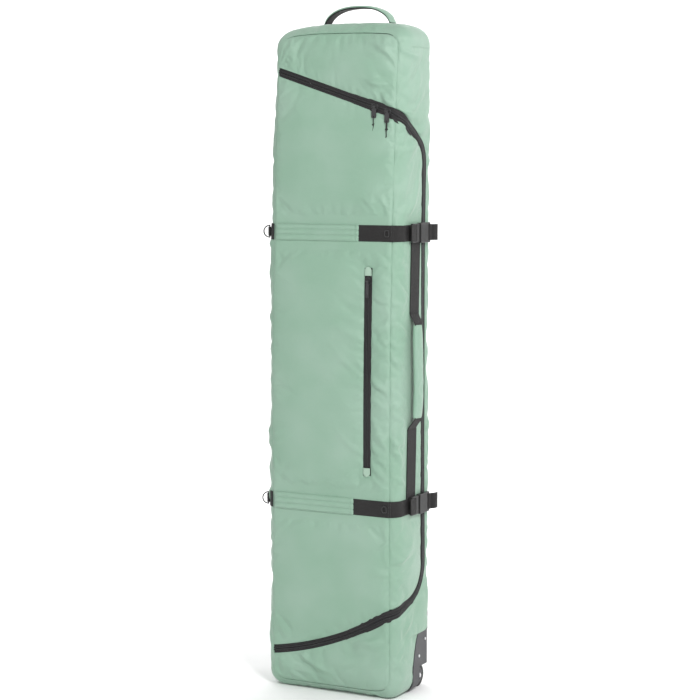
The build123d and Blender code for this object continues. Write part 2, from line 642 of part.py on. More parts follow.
for (level, z), sleeve_end in zip(STRAPS.items(), SLEEVE_ENDS):
    with BuildPart() as strap_sleeve:
        skin(-SLEEVE_THICK, 0)
        only(box_region((SLEEVE_FROM_SIDE - SIDE, SIDE - sleeve_end), IN_FRONT, strap_band(z, SLEEVE_WIDTH)))
    keep(strap_sleeve, f"strap_sleeve_{level}")

    with BuildPart() as front_strap:
        skin(-WEBBING, 0)
        only(box_region((SIDE - sleeve_end, SIDE + OUTSIDE), (FRONT - OUTSIDE, STRAP_END), strap_band(z)))
    keep(front_strap, f"front_strap_{level}")

    with BuildPart() as buckle_receptacle:
        body = side_frame((BUCKLE_START + BUCKLE_BODY_END) / 2, z)
        with BuildSketch(body.offset(BUCKLE_FLOAT)):
            RectangleRounded(BUCKLE_BODY, BUCKLE_WIDTH, BUCKLE_CORNER)
        extrude(amount=BUCKLE_THICK)
        fillet(faces().sort_by(Axis.X)[-1].edges(), 2)
        rear_start = BUCKLE_BODY_END - BUCKLE_LAP
        with BuildSketch(side_frame((rear_start + BUCKLE_END) / 2, z).offset(PLUG_FLOAT)):
            RectangleRounded(BUCKLE_END - rear_start, BUCKLE_WIDTH, 1.9)
        extrude(amount=PLUG_THICK)
        prong_base = PLUG_FLOAT + (PLUG_THICK - PRONG_THICK) / 2
        cavity_height = PRONG_THICK + 2 * PRONG_CLEARANCE
        cavity = side_frame((BUCKLE_START + PRONG_END) / 2, z).offset(prong_base - PRONG_CLEARANCE)
        with BuildSketch(cavity):
            Rectangle(PRONG_END - BUCKLE_START + 2, SLOT_WIDTH)
        extrude(amount=cavity_height, mode=Mode.SUBTRACT)
        window = side_frame(BUCKLE_START + WINDOW_FROM_START, z)
        with BuildSketch(window.offset(prong_base - PRONG_CLEARANCE)):
            RectangleRounded(WINDOW, BUCKLE_WIDTH + 2, 2)
        extrude(amount=cavity_height, mode=Mode.SUBTRACT)
        with BuildSketch(side_frame(BUCKLE_END - REAR_BAR - SLOT, z)):
            RectangleRounded(SLOT, SLOT_WIDTH, 1)
        extrude(amount=2 * BUCKLE_THICK, mode=Mode.SUBTRACT)
    keep(buckle_receptacle, f"buckle_receptacle_{level}")

    with BuildPart() as buckle_plug:
        with BuildSketch(side_frame((PLUG_START + PLUG_END) / 2, z).offset(PLUG_FLOAT)):
            RectangleRounded(PLUG_END - PLUG_START, PLUG_WIDTH, 3)
        extrude(amount=PLUG_THICK)
        fillet(faces().sort_by(Axis.X)[-1].edges(), 1.2)
        with BuildSketch(side_frame(PLUG_END - 1, z).offset(prong_base)):
            prong_v = SLOT_WIDTH / 2 - PRONG_FROM_EDGE
            for v, width in ((-prong_v, PRONG_WIDTH), (0, GUIDE_WIDTH), (prong_v, PRONG_WIDTH)):
                with Locations(((PRONG_END - PLUG_END + 1) / 2, v)):
                    RectangleRounded(PRONG_END - PLUG_END + 1, width, 2)
        extrude(amount=PRONG_THICK)
        for u in (PLUG_START + PLUG_FRAME + SLOT / 2, PLUG_START + PLUG_FRAME + BAR_WIDTH + 1.5 * SLOT):
            with BuildSketch(side_frame(u, z)):
                RectangleRounded(SLOT, SLOT_WIDTH, 1)
            extrude(amount=2 * BUCKLE_THICK, mode=Mode.SUBTRACT)
    keep(buckle_plug, f"buckle_plug_{level}")

    # a flat loop of webbing round the plug's crossbar, with its running end lying back over the strap
    bar = (PLUG_START + PLUG_FRAME + SLOT, PLUG_START + PLUG_FRAME + SLOT + BAR_WIDTH)
    low, high = PLUG_FLOAT - LOOP_CLEARANCE, PLUG_FLOAT + PLUG_THICK + LOOP_CLEARANCE
    with BuildPart() as strap_loop:
        block(
            (SIDE + low - LOOP_THICK, SIDE + high + LOOP_THICK),
            (bar[0] - LOOP_CLEARANCE - LOOP_THICK, bar[1] + LOOP_CLEARANCE + LOOP_THICK),
            strap_band(z),
        )
        hole_y = (bar[0] - LOOP_CLEARANCE, bar[1] + LOOP_CLEARANCE)
        block((SIDE + low, SIDE + high), hole_y, strap_band(z), Mode.SUBTRACT)
        tail = (bar[0] - LOOP_CLEARANCE - TAIL_LENGTH, bar[0] - LOOP_CLEARANCE)
        block((SIDE + high, SIDE + high + LOOP_THICK), tail, strap_band(z))
    keep(strap_loop, f"strap_loop_{level}")

REAR_LOOP_Y = (
    BUCKLE_END - REAR_BAR - SLOT / 2 - LOOP_CLEARANCE - LOOP_THICK,
    BUCKLE_END + LOOP_CLEARANCE + LOOP_THICK,
)


def rear_strap(z, tail_points):
    """A strap from the back panel round the corner, looped through the receptacle, with its loose tail."""
    low, high = PLUG_FLOAT - LOOP_CLEARANCE, PLUG_FLOAT + PLUG_THICK + LOOP_CLEARANCE
    hole_y = (REAR_LOOP_Y[0] + LOOP_THICK, REAR_LOOP_Y[1] - LOOP_THICK)
    start = (SIDE + high, REAR_LOOP_Y[1] - 1, z)
    with BuildPart() as strap:
        skin(-WEBBING, 0)
        rear_x = (SIDE - REAR_STRAP_REACH, SIDE + OUTSIDE)
        only(box_region(rear_x, (BUCKLE_BODY_END, BACK + OUTSIDE), strap_band(z)))
        block((SIDE + WEBBING / 2, SIDE + high + LOOP_THICK), REAR_LOOP_Y, strap_band(z))
        block((SIDE + low, SIDE + high), hole_y, strap_band(z, STRAP_WIDTH + 2), Mode.SUBTRACT)
        with BuildSketch(Plane(origin=start, x_dir=(0.5, 0.86, 0), z_dir=(0.86, -0.5, 0))):
            Polygon(*tail_points, align=None)
        extrude(amount=LOOP_THICK)
    return strap.part


with BuildPart() as rear_straps:
    for level, z in STRAPS.items():
        add(rear_strap(z, TAIL_POINTS[level]))
keep(rear_straps, "rear_straps")

with BuildPart() as strap_keepers:
    for z in STRAPS.values():
        with BuildSketch(front_frame(SIDE - KEEPER_FROM_SIDE, z).offset(WEBBING)):
            RectangleRounded(*KEEPER, 5)
            RectangleRounded(*KEEPER_HOLE, 3, mode=Mode.SUBTRACT)
        extrude(amount=KEEPER_THICK)
keep(strap_keepers, "strap_keepers")

# ---- haul handle on the side ----

SIDE_WEBBING_Y = [SIDE_RUN_Y - reach for reach in SIDE_WEBBING_TO_RUN]
GRIP_Y = SIDE_RUN_Y - GRIP_TO_RUN
GRIP_MIDDLE = (UPPER_STRAP + LOWER_STRAP) / 2 - GRIP_DROP
GRIP_ENDS = (GRIP_MIDDLE - GRIP_LENGTH / 2, GRIP_MIDDLE + GRIP_LENGTH / 2)
RAMP_ENDS = (GRIP_ENDS[0] - RAMP_LENGTH, GRIP_ENDS[1] + RAMP_LENGTH)
GRIP_X = SIDE + GRIP_STANDOFF + GRIP_THICK / 2


def side_webbing_region():
    """The slanting band from the lower strap to the upper one, without the stretch that the handle takes."""
    lower_run = (LOWER_STRAP + STRAP_WIDTH / 2, RAMP_ENDS[0])
    upper_run = (RAMP_ENDS[1], UPPER_STRAP - STRAP_WIDTH / 2)
    with BuildPart() as band:
        with BuildSketch(Plane.YZ.offset(SEAM)):
            with BuildLine():
                Line((SIDE_WEBBING_Y[0], LOWER_STRAP), (SIDE_WEBBING_Y[1], UPPER_STRAP))
            trace(line_width=SIDE_WEBBING_WIDTH)
        extrude(amount=OUTSIDE)
        runs = [box_region((0, BAG_WIDTH), (FRONT, BACK), run) for run in (lower_run, upper_run)]
        add(runs, mode=Mode.INTERSECT)
    return band.part


with BuildPart() as side_webbing:
    skin(-WEBBING, 0)
    only(side_webbing_region())
keep(side_webbing, "side_webbing")

with BuildPart() as haul_grip:
    with BuildSketch(Plane.XY.offset(GRIP_ENDS[0])):
        with Locations((GRIP_X, GRIP_Y)):
            RectangleRounded(GRIP_THICK, GRIP_WIDTH, GRIP_THICK / 2 - 1)
    extrude(amount=GRIP_LENGTH)
keep(haul_grip, "haul_grip")

with BuildPart() as haul_ramps:
    for base, grip_end, step in ((RAMP_ENDS[0], GRIP_ENDS[0], 1), (RAMP_ENDS[1], GRIP_ENDS[1], -1)):
        end = grip_end - GRIP_GAP * step
        low_x, high_x = GRIP_X - WEBBING / 2, GRIP_X + WEBBING / 2
        with BuildSketch(Plane.XZ.offset(-GRIP_Y)):
            with BuildLine():
                outer = [(SIDE, base), (SIDE + WEBBING, base), (high_x, end - 3 * step), (high_x, end)]
                inner = [(low_x, end), (low_x, end - 2 * step), (SIDE, base + 3 * step)]
                Polyline(*outer, *inner, close=True)
            make_face()
        extrude(amount=GRIP_WIDTH / 2 - 1, both=True)
keep(haul_ramps, "haul_ramps")

# ---- top handle ----

HANDLE_Y = BACK - HANDLE_FROM_BACK
HANDLE_PLANE = Plane.XZ.offset(-HANDLE_Y)


def handle_line(out):
    """The top handle's arch, moved out from its middle line by some distance."""
    leg = hypot(HANDLE_LEG, HANDLE_RISE - HANDLE_LIFT)
    across_leg = (HANDLE_RISE - HANDLE_LIFT) / leg
    along_leg = HANDLE_LEG / leg
    foot_x = HANDLE_SPAN / 2 + out * across_leg
    foot_z = BAG_HEIGHT + HANDLE_LIFT + out * along_leg
    top_z = BAG_HEIGHT + HANDLE_RISE + out
    top_x = foot_x - (top_z - foot_z) * along_leg / across_leg
    points = [(-foot_x, foot_z), (-top_x, top_z), (top_x, top_z), (foot_x, foot_z)]
    return FilletPolyline(*points, radius=HANDLE_RADIUS + out)


HANDLE_LAYERS = {
    "webbing": (-HANDLE_WEBBING / 2, HANDLE_WEBBING / 2),
    "cover": (HANDLE_WEBBING / 2, HANDLE_WEBBING / 2 + HANDLE_COVER),
}

for name, (inner, outer) in HANDLE_LAYERS.items():
    with BuildPart() as handle_layer:
        with BuildSketch(HANDLE_PLANE):
            with BuildLine():
                below = handle_line(inner)
                above = handle_line(outer)
                Line(below @ 0, above @ 0)
                Line(below @ 1, above @ 1)
            make_face()
        extrude(amount=HANDLE_WIDTH / 2, both=True)
    keep(handle_layer, f"top_handle_{name}")

with BuildPart() as top_handle_feet:
    leg_run = (HANDLE_LIFT + TOP_RADIUS / 2) * HANDLE_LEG / (HANDLE_RISE - HANDLE_LIFT)
    for side in (-1, 1):
        head = (side * HANDLE_SPAN / 2, BAG_HEIGHT + HANDLE_LIFT - GRIP_GAP - 1)
        foot = (side * (HANDLE_SPAN / 2 + leg_run), BAG_HEIGHT - TOP_RADIUS / 2)
        with BuildSketch(HANDLE_PLANE):
            with BuildLine():
                Line(foot, head)
            trace(line_width=HANDLE_WEBBING)
        extrude(amount=HANDLE_WIDTH / 2, both=True)
    cut(bag_solid(0))
keep(top_handle_feet, "top_handle_feet")

# ---- rings on the left corner ----

RING_OUT = (-cos(radians(RING_FACING)), -sin(radians(RING_FACING)))


def ring_plane(z):
    """A plane through a ring: local X straight out of the corner, Y up, with its origin on the ring's bar."""
    reach = SIDE_RADIUS + WEBBING + RING_WIRE + RING_CLEARANCE + RING_LOOP_WALL - RING_LOOP_SINK
    x = -SIDE + SIDE_RADIUS + RING_OUT[0] * reach
    y = front_y(z) + SIDE_RADIUS + RING_OUT[1] * reach
    return Plane(origin=(x, y, z), x_dir=(*RING_OUT, 0), z_dir=(RING_OUT[1], -RING_OUT[0], 0))


with BuildPart() as ring_tabs:
    skin(-WEBBING, 0)
    tab_x = (-SIDE - OUTSIDE, -SEAM - RING_TAB_START)
    tab_y = (FRONT - OUTSIDE, FRONT + RING_TAB_REACH)
    tabs = [box_region(tab_x, tab_y, strap_band(z)) for z in STRAPS.values()]
    only(tabs[0] + tabs[1])
    for z in STRAPS.values():
        plane = ring_plane(z)
        loop_base = Plane(origin=plane.from_local_coords((0, -RING_LOOP_HEIGHT / 2, 0)), z_dir=(0, 0, 1))
        with BuildSketch(loop_base):
            Circle(RING_WIRE + RING_CLEARANCE + RING_LOOP_WALL)
        extrude(amount=RING_LOOP_HEIGHT)
    for z in STRAPS.values():
        plane = ring_plane(z)
        hole_base = Plane(origin=plane.from_local_coords((0, -STRAP_WIDTH / 2, 0)), z_dir=(0, 0, 1))
        with BuildSketch(hole_base):
            Circle(RING_WIRE + RING_CLEARANCE)
        extrude(amount=STRAP_WIDTH, mode=Mode.SUBTRACT)
keep(ring_tabs, "ring_tabs")

for level, z in STRAPS.items():
    plane = ring_plane(z)
    with BuildPart() as d_ring:
        with BuildLine(plane) as bow:
            CenterArc((0, 0), RING_RADIUS, -90, 180)
        with BuildSketch(Plane(origin=bow.line @ 0, z_dir=bow.line % 0)):
            Circle(RING_WIRE)
        sweep(path=bow.line)
        with BuildSketch(Plane(origin=bow.line @ 0, z_dir=(0, 0, 1))):
            Circle(RING_WIRE)
        extrude(amount=2 * RING_RADIUS)
        with Locations(bow.line @ 0, bow.line @ 1):
            Sphere(RING_WIRE)
    keep(d_ring, f"d_ring_{level}")

# ---- sliders, pull tabs and cords ----


def zipper_slider(frame, hang, chain, nose):
    """A slider round the chain, its nose along the frame's X (1) or against it (-1), with a bar for a pull."""
    lip = (SLIDER_WIDTH - chain) / 2 - SLIDER_LIP_CLEARANCE
    with BuildPart() as slider:
        with BuildSketch(frame.offset(SLIDER_FLOAT)):
            RectangleRounded(SLIDER_LENGTH, SLIDER_WIDTH, SLIDER_CORNER)
        extrude(amount=SLIDER_PLATE)
        with BuildSketch(frame.offset(SLIDER_FLOAT)):
            with Locations((0, (SLIDER_WIDTH - lip) / 2), (0, (lip - SLIDER_WIDTH) / 2)):
                Rectangle(SLIDER_LENGTH - 2 * SLIDER_CORNER, lip)
        extrude(amount=-SLIDER_FLOAT - TAPE_TOP + 0.5)
        with BuildSketch(frame.offset(-TAPE_BOTTOM - SLIDER_UNDER)):
            RectangleRounded(SLIDER_LENGTH, SLIDER_WIDTH, SLIDER_CORNER)
        extrude(amount=-SLIDER_PLATE)
        with BuildSketch(frame.offset(-TAPE_BOTTOM - SLIDER_UNDER)):
            with Locations((nose * WEDGE_OFFSET, 0)):
                Rectangle(WEDGE_LENGTH, WEDGE_WIDTH)
        extrude(amount=TAPE_BOTTOM + SLIDER_UNDER + SLIDER_FLOAT)
        with BuildSketch(hang.offset(PLATE_TOP)):
            offset_x = (EYE_LENGTH + POST) / 2 + 0.3
            with Locations((-offset_x, 0), (offset_x, 0)):
                Rectangle(POST, 2 * BAR_RADIUS)
        extrude(amount=BAR_RISE)
        with BuildSketch(across(hang, BAR_HEIGHT)):
            Circle(BAR_RADIUS)
        extrude(amount=offset_x + POST / 2, both=True)
    return slider


def pull_tab(hang, length, width):
    """A flat pull hanging from a slider's bar, with a hole near its free end."""
    bar = across(hang, BAR_HEIGHT)
    face = hang.offset(BAR_HEIGHT - TAB_THICK / 2)
    with BuildPart() as tab:
        with BuildSketch(bar):
            Circle(BAR_RADIUS + BAR_CLEARANCE + EYE_WALL)
        extrude(amount=EYE_LENGTH / 2, both=True)
        with BuildSketch(face):
            with Locations((0, -TAB_NECK / 2)):
                Rectangle(EYE_LENGTH, TAB_NECK)
            with Locations((0, -(TAB_NECK - 1 + length) / 2)):
                RectangleRounded(width, length - TAB_NECK + 1, width / 4)
        extrude(amount=TAB_THICK)
        with BuildSketch(bar):
            Circle(BAR_RADIUS + BAR_CLEARANCE)
        extrude(amount=EYE_LENGTH, both=True, mode=Mode.SUBTRACT)
        with BuildSketch(face):
            with Locations((0, TAB_HOLE_INSET - length)):
                Circle(TAB_HOLE_RADIUS)
        extrude(amount=TAB_THICK, mode=Mode.SUBTRACT)
    return tab


def bend_radii(points):
    """The largest arc that each corner's two runs allow."""
    radii = []
    for before, corner, after in zip(points, points[1:], points[2:]):
        turn = (corner - before).get_angle(after - corner)
        shorter = min((corner - before).length, (after - corner).length)
        radii.append(0.45 * shorter / tan(radians(turn / 2)))
    return radii


def cord_tube(points):
    """A pull cord along straight runs joined by tangent arcs."""
    radii = bend_radii(points)
    print("cord radii", [round(r, 1) for r in radii])
    with BuildPart() as cord:
        with BuildLine() as route:
            FilletPolyline(*points, radius=radii)
        with BuildSketch(Plane(origin=route.line @ 0, z_dir=route.line % 0)):
            Circle(CORD / 2)
        sweep(path=route.line)
    length = sum(edge.length for edge in route.edges())
    print("cord length", round(length, 1), "volume ratio", cord.part.volume / (pi * CORD**2 / 4 * length))
    return cord


# The cord's places down the hanging tab: (along the bar, down the face, out from the tab's middle plane). It
# goes from one loose end up behind the tab, through the hole, and down in front to the other loose end.
HOLE_Y = TAB_HOLE_INSET - MAIN_TAB_LENGTH
CORD_ROUTES = {
    "left": [
        (1.4, HOLE_Y - 41, -1.0),
        (-0.8, HOLE_Y - 26, -1.3),
        (0.1, HOLE_Y - 9, -2.0),
        (0, HOLE_Y, -CORD_SPREAD),
        (0, HOLE_Y, CORD_SPREAD),
        (0.2, HOLE_Y - 9, 2.0),
        (0.8, HOLE_Y - 26, 0.9),
        (-1.6, HOLE_Y - 40, 1.7),
    ],
    "right": [
        (-1.9, HOLE_Y - 39, -1.0),
        (0.7, HOLE_Y - 25, -1.3),
        (-0.1, HOLE_Y - 9, -2.0),
        (0, HOLE_Y, -CORD_SPREAD),
        (0, HOLE_Y, CORD_SPREAD),
        (0.1, HOLE_Y - 9, 2.0),
        (-0.7, HOLE_Y - 25, 1.0),
        (1.5, HOLE_Y - 38, 1.9),
    ],
}

for name, x, nose in (("left", LEFT_SLIDER_X, 1), ("right", RIGHT_SLIDER_X, -1)):
    course = diagonal_frame(x)
    hang = turned(course, -ZIP_SLOPE)
    keep(zipper_slider(course, hang, CHAIN, nose), f"main_slider_{name}")
    keep(pull_tab(hang, MAIN_TAB_LENGTH, MAIN_TAB_WIDTH), f"pull_tab_{name}")
    places = [hang.from_local_coords(Vector(a, b, BAR_HEIGHT + c)) for a, b, c in CORD_ROUTES[name]]
    keep(cord_tube(places), f"pull_cord_{name}")

POCKET_HANG = front_frame(POCKET_X, POCKET_SLIDER_Z)
keep(zipper_slider(POCKET_FRAME, POCKET_HANG, POCKET_CHAIN, 1), "pocket_slider")
keep(pull_tab(POCKET_HANG, POCKET_TAB_LENGTH, POCKET_TAB_WIDTH), "pocket_puller")

# ---- wheels and their housings ----

WHEEL_OUTER = SIDE - WHEEL_FROM_SIDE
WHEEL_PLANE = Plane(origin=(WHEEL_OUTER, WHEEL_Y, WHEEL_RADIUS), x_dir=(0, 1, 0), z_dir=(1, 0, 0))


def screw_planes():
    """Where the housing's screws sit, each plane facing out."""
    planes = [side_frame(BACK - reach, z) for reach, z in SIDE_SCREWS]
    back_place = (SIDE - BACK_SCREW[0], BACK, BACK_SCREW[1])
    return planes + [Plane(origin=back_place, x_dir=(1, 0, 0), z_dir=(0, 1, 0))]


well_walls = bag_solid(0) & box_region(
    (WELL_INNER - HOUSING_WALL, SIDE + OUTSIDE),
    (WELL_FRONT - HOUSING_WALL, BACK + OUTSIDE),
    (-OUTSIDE, WELL_TOP + HOUSING_WALL),
)

with BuildPart() as wheel_housing_right:
    skin(0, HOUSING_WALL)
    only(HOUSING)
    add(well_walls)
    block((WELL_INNER, SIDE + OUTSIDE), (WELL_FRONT, BACK + OUTSIDE), (-OUTSIDE, WELL_TOP), Mode.SUBTRACT)
    with BuildSketch(WHEEL_PLANE):
        Circle(AXLE_RADIUS + THREAD_CLEARANCE)
    extrude(amount=-WHEEL_WIDTH - OUTSIDE, mode=Mode.SUBTRACT)
    for plane in screw_planes():
        with BuildSketch(plane):
            Circle(SCREW_RADIUS + SCREW_CLEARANCE)
        extrude(amount=-2 * HOUSING_WALL, mode=Mode.SUBTRACT)
keep(wheel_housing_right, "wheel_housing_right")

with BuildPart() as wheel_housing_left:
    mirror(wheel_housing_right.part, about=Plane.YZ)
keep(wheel_housing_left, "wheel_housing_left")


def trim_region():
    """The pointed corner above each housing."""
    low = BACK - HOUSING_TOP_REACH
    with BuildPart() as region:
        with BuildSketch(Plane.YZ.offset(SIDE - HOUSING_WIDTH)):
            Polygon(
                (low, HOUSING_HEIGHT),
                (BACK + OUTSIDE, HOUSING_HEIGHT),
                (BACK + OUTSIDE, TRIM_HEIGHT),
                (BACK, TRIM_HEIGHT),
                align=None,
            )
        extrude(amount=HOUSING_WIDTH + OUTSIDE)
        mirror(about=Plane.YZ)
    return region.part


with BuildPart() as housing_trims:
    skin(-TRIM_THICK, 0)
    only(trim_region())
keep(housing_trims, "housing_trims")

with BuildPart() as housing_screws:
    for plane in screw_planes():
        with BuildSketch(plane):
            Circle(SCREW_HEAD)
        extrude(amount=SCREW_HEAD_THICK)
        with BuildSketch(plane):
            Circle(SCREW_RADIUS)
        extrude(amount=-SCREW_LENGTH)
    mirror(about=Plane.YZ)
keep(housing_screws, "housing_screws")

with BuildPart() as axle_bolts:
    with BuildSketch(WHEEL_PLANE.offset(WHEEL_GAP)):
        RegularPolygon(AXLE_HEAD, 6)
    extrude(amount=AXLE_HEAD_THICK)
    with BuildSketch(WHEEL_PLANE.offset(WHEEL_GAP)):
        Circle(AXLE_RADIUS)
    extrude(amount=-(WHEEL_WIDTH + 2 * WHEEL_GAP + HOUSING_WALL + NUT_THICK + THREAD_PAST_NUT))
    mirror(about=Plane.YZ)
keep(axle_bolts, "axle_bolts")

with BuildPart() as axle_nuts:
    with BuildSketch(WHEEL_PLANE.offset(-WHEEL_WIDTH - WHEEL_GAP - HOUSING_WALL)):
        RegularPolygon(NUT_RADIUS, 6)
        Circle(AXLE_RADIUS + THREAD_CLEARANCE, mode=Mode.SUBTRACT)
    extrude(amount=-NUT_THICK)
    mirror(about=Plane.YZ)
keep(axle_nuts, "axle_nuts")

with BuildPart() as wheel_hub_right:
    with BuildSketch(WHEEL_PLANE):
        Circle(HUB_RADIUS)
        Circle(AXLE_RADIUS + HUB_BORE_CLEARANCE, mode=Mode.SUBTRACT)
    extrude(amount=-WHEEL_WIDTH)
    with BuildSketch(WHEEL_PLANE):
        with PolarLocations(HUB_HOLE_CIRCLE, HUB_HOLES):
            Circle(HUB_HOLE_RADIUS)
    extrude(amount=-WHEEL_WIDTH, mode=Mode.SUBTRACT)
keep(wheel_hub_right, "wheel_hub_right")

with BuildPart() as wheel_tyre_right:
    with BuildSketch(WHEEL_PLANE):
        Circle(WHEEL_RADIUS)
        Circle(HUB_RADIUS, mode=Mode.SUBTRACT)
    extrude(amount=-WHEEL_WIDTH)
    rims = edges().filter_by(GeomType.CIRCLE).filter_by(lambda e: e.radius > HUB_RADIUS + TYRE_ROUNDING)
    fillet(rims, TYRE_ROUNDING)
keep(wheel_tyre_right, "wheel_tyre_right")

for piece, name in ((wheel_hub_right, "wheel_hub_left"), (wheel_tyre_right, "wheel_tyre_left")):
    with BuildPart() as left_piece:
        mirror(piece.part, about=Plane.YZ)
    keep(left_piece, name)
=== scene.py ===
"""A wheeled snowboard bag, upright on a pale floor. Metres, +Z up, the lid faces -Y."""

import math

import bpy
import numpy as np
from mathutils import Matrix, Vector, kdtree


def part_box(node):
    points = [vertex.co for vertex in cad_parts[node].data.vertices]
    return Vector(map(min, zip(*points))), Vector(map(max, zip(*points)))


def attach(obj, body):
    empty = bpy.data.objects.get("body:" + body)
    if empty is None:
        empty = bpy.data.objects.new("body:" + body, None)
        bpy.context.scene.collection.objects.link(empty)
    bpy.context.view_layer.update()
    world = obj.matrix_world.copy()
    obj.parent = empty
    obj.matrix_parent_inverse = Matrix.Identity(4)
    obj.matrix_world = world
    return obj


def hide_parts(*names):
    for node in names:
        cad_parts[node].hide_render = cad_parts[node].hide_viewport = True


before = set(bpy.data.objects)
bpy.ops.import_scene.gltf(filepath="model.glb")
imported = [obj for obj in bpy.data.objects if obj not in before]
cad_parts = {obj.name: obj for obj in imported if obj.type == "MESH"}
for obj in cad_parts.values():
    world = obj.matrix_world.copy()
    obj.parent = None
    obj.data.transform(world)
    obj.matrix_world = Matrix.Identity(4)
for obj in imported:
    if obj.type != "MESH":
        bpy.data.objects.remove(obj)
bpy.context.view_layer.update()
MM = 0.001

# ---- the bag's shell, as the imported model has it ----

SIDE = -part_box("left_gusset")[0].x
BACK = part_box("back_panel")[1].y
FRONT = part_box("front_bottom_panel")[0].y
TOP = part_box("top_gusset")[1].z
LEAN_START = 620 * MM
LEAN = 43 * MM
LEAN_RADIUS = ((TOP - LEAN_START) ** 2 + LEAN**2) / (2 * LEAN)
SIDE_RADIUS = 30 * MM
TOP_RADIUS = 40 * MM
FRONT_BASE_RADIUS = 40 * MM
BACK_BASE_RADIUS = 45 * MM
PANEL = 5 * MM
SEAM_INSET = 18 * MM
SEAM = SIDE - SEAM_INSET
SEAM_RADIUS = 36 * MM
END_GUSSET = 40 * MM
ZIP_HALF = 10 * MM
FLAT = SIDE - SIDE_RADIUS
QUARTER = SIDE_RADIUS * math.pi / 2
SEAM_TURN = math.asin((SEAM - FLAT) / SIDE_RADIUS)
GIRTH_SEAM = FLAT + SIDE_RADIUS * SEAM_TURN

UPPER_STRAP = sum(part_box("front_strap_upper")[i].z for i in (0, 1)) / 2
LOWER_STRAP = sum(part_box("front_strap_lower")[i].z for i in (0, 1)) / 2
STRAPS = {"upper": UPPER_STRAP, "lower": LOWER_STRAP}
STRAP_WIDTH = 38 * MM
HOUSING_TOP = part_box("wheel_housing_right")[1].z
HOUSING_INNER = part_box("wheel_housing_right")[0].x
STEP = 6 * MM


def front_y(z):
    """Where the front face stands at height z."""
    rise = np.clip(z - LEAN_START, 0, None)
    return FRONT + LEAN_RADIUS - np.sqrt(LEAN_RADIUS**2 - rise**2)


def rounded(a, b, radius):
    """Distance from a corner of two faces with a rounding."""
    return np.hypot(np.maximum(a + radius, 0), np.maximum(b + radius, 0)) + np.minimum(
        np.maximum(a, b) + radius, 0
    ) - radius


def shell_distance(p):
    """How far points stand outside the bag's shell."""
    x, y, z = p[..., 0], p[..., 1], p[..., 2]
    ahead, behind = front_y(z) - y, y - BACK
    above, below = z - TOP, -z
    base_radius = np.where(ahead > behind, FRONT_BASE_RADIUS, BACK_BASE_RADIUS)
    radius = np.where(above > below, TOP_RADIUS, base_radius)
    profile = rounded(np.maximum(ahead, behind), np.maximum(above, below), radius)
    return rounded(np.abs(x) - SIDE, profile, SIDE_RADIUS)


def shell_normal(p):
    """The shell's outward direction near points."""
    nudge = 0.3 * MM * np.eye(3)
    slope = [shell_distance(p + nudge[i]) - shell_distance(p - nudge[i]) for i in range(3)]
    slope = np.stack(slope, axis=-1)
    return slope / np.maximum(np.linalg.norm(slope, axis=-1, keepdims=True), 1e-9)


def onto_shell(p):
    """Moves points to the nearest place on the shell."""
    p = np.array(p, float)
    for _ in range(4):
        p = p - shell_distance(p)[..., None] * shell_normal(p)
    return p


def girth_point(g, z):
    """The place at height z and distance g round the bag, right (+) or left (-) from the front's middle."""
    g, z = np.broadcast_arrays(np.asarray(g, float), np.asarray(z, float))
    beyond = np.abs(g) - FLAT
    side_run = BACK - SIDE_RADIUS - (front_y(z) + SIDE_RADIUS)
    first = np.clip(beyond, 0, QUARTER)
    along = np.clip(beyond - QUARTER, 0, side_run)
    second = np.clip(beyond - QUARTER - side_run, 0, QUARTER)
    behind = np.clip(beyond - 2 * QUARTER - side_run, 0, None)
    turn = (first + second) / SIDE_RADIUS
    x = (np.minimum(np.abs(g), FLAT) - behind + SIDE_RADIUS * np.sin(turn)) * np.where(g < 0, -1, 1)
    y = front_y(z) + SIDE_RADIUS + along - SIDE_RADIUS * np.cos(turn)
    return np.stack([x, y, z + 0 * x], axis=-1)


def girth_at_side(y, z):
    """Distance round the bag of a place on the right side, by its y."""
    start = front_y(z) + SIDE_RADIUS
    lead = np.clip((start - y) / SIDE_RADIUS, 0, 1)
    tail = np.clip((y - (BACK - SIDE_RADIUS)) / SIDE_RADIUS, 0, 1)
    middle = np.clip(y, start, BACK - SIDE_RADIUS) - start
    return FLAT + SIDE_RADIUS * np.arccos(lead) + middle + SIDE_RADIUS * np.arcsin(tail)


def girth_rear_seam(z):
    """Distance round the bag of the back panel's seam."""
    return FLAT + 2 * QUARTER + (BACK - front_y(z) - 2 * SIDE_RADIUS) - SIDE_RADIUS * SEAM_TURN


# ---- the camera, which comes first with the cords ----

CAMERA_PLACE = (2.168, -4.018, 1.264)
CAMERA_TURN = (math.radians(90 - 5.612), 0, math.radians(28.32))
CAMERA_LENS = 98.8


def make_camera():
    """The camera, at eye height in front and to the right."""
    data = bpy.data.cameras.new("camera")
    data.lens = CAMERA_LENS
    camera = bpy.data.objects.new("camera", data)
    bpy.context.scene.collection.objects.link(camera)
    camera.location = CAMERA_PLACE
    camera.rotation_euler = CAMERA_TURN
    bpy.context.scene.camera = camera


make_camera()

# ---- materials ----


def shader_group(name, inputs, outputs):
    """A shader group with named inputs and outputs, and its two end nodes."""
    tree = bpy.data.node_groups.new(name, "ShaderNodeTree")
    for label, value in inputs:
        kind = "NodeSocketColor" if isinstance(value, tuple) else "NodeSocketFloat"
        tree.interface.new_socket(label, in_out="INPUT", socket_type=kind).default_value = value
    for label, kind in outputs:
        tree.interface.new_socket(label, in_out="OUTPUT", socket_type=kind)
    return tree, tree.nodes.new("NodeGroupInput"), tree.nodes.new("NodeGroupOutput")


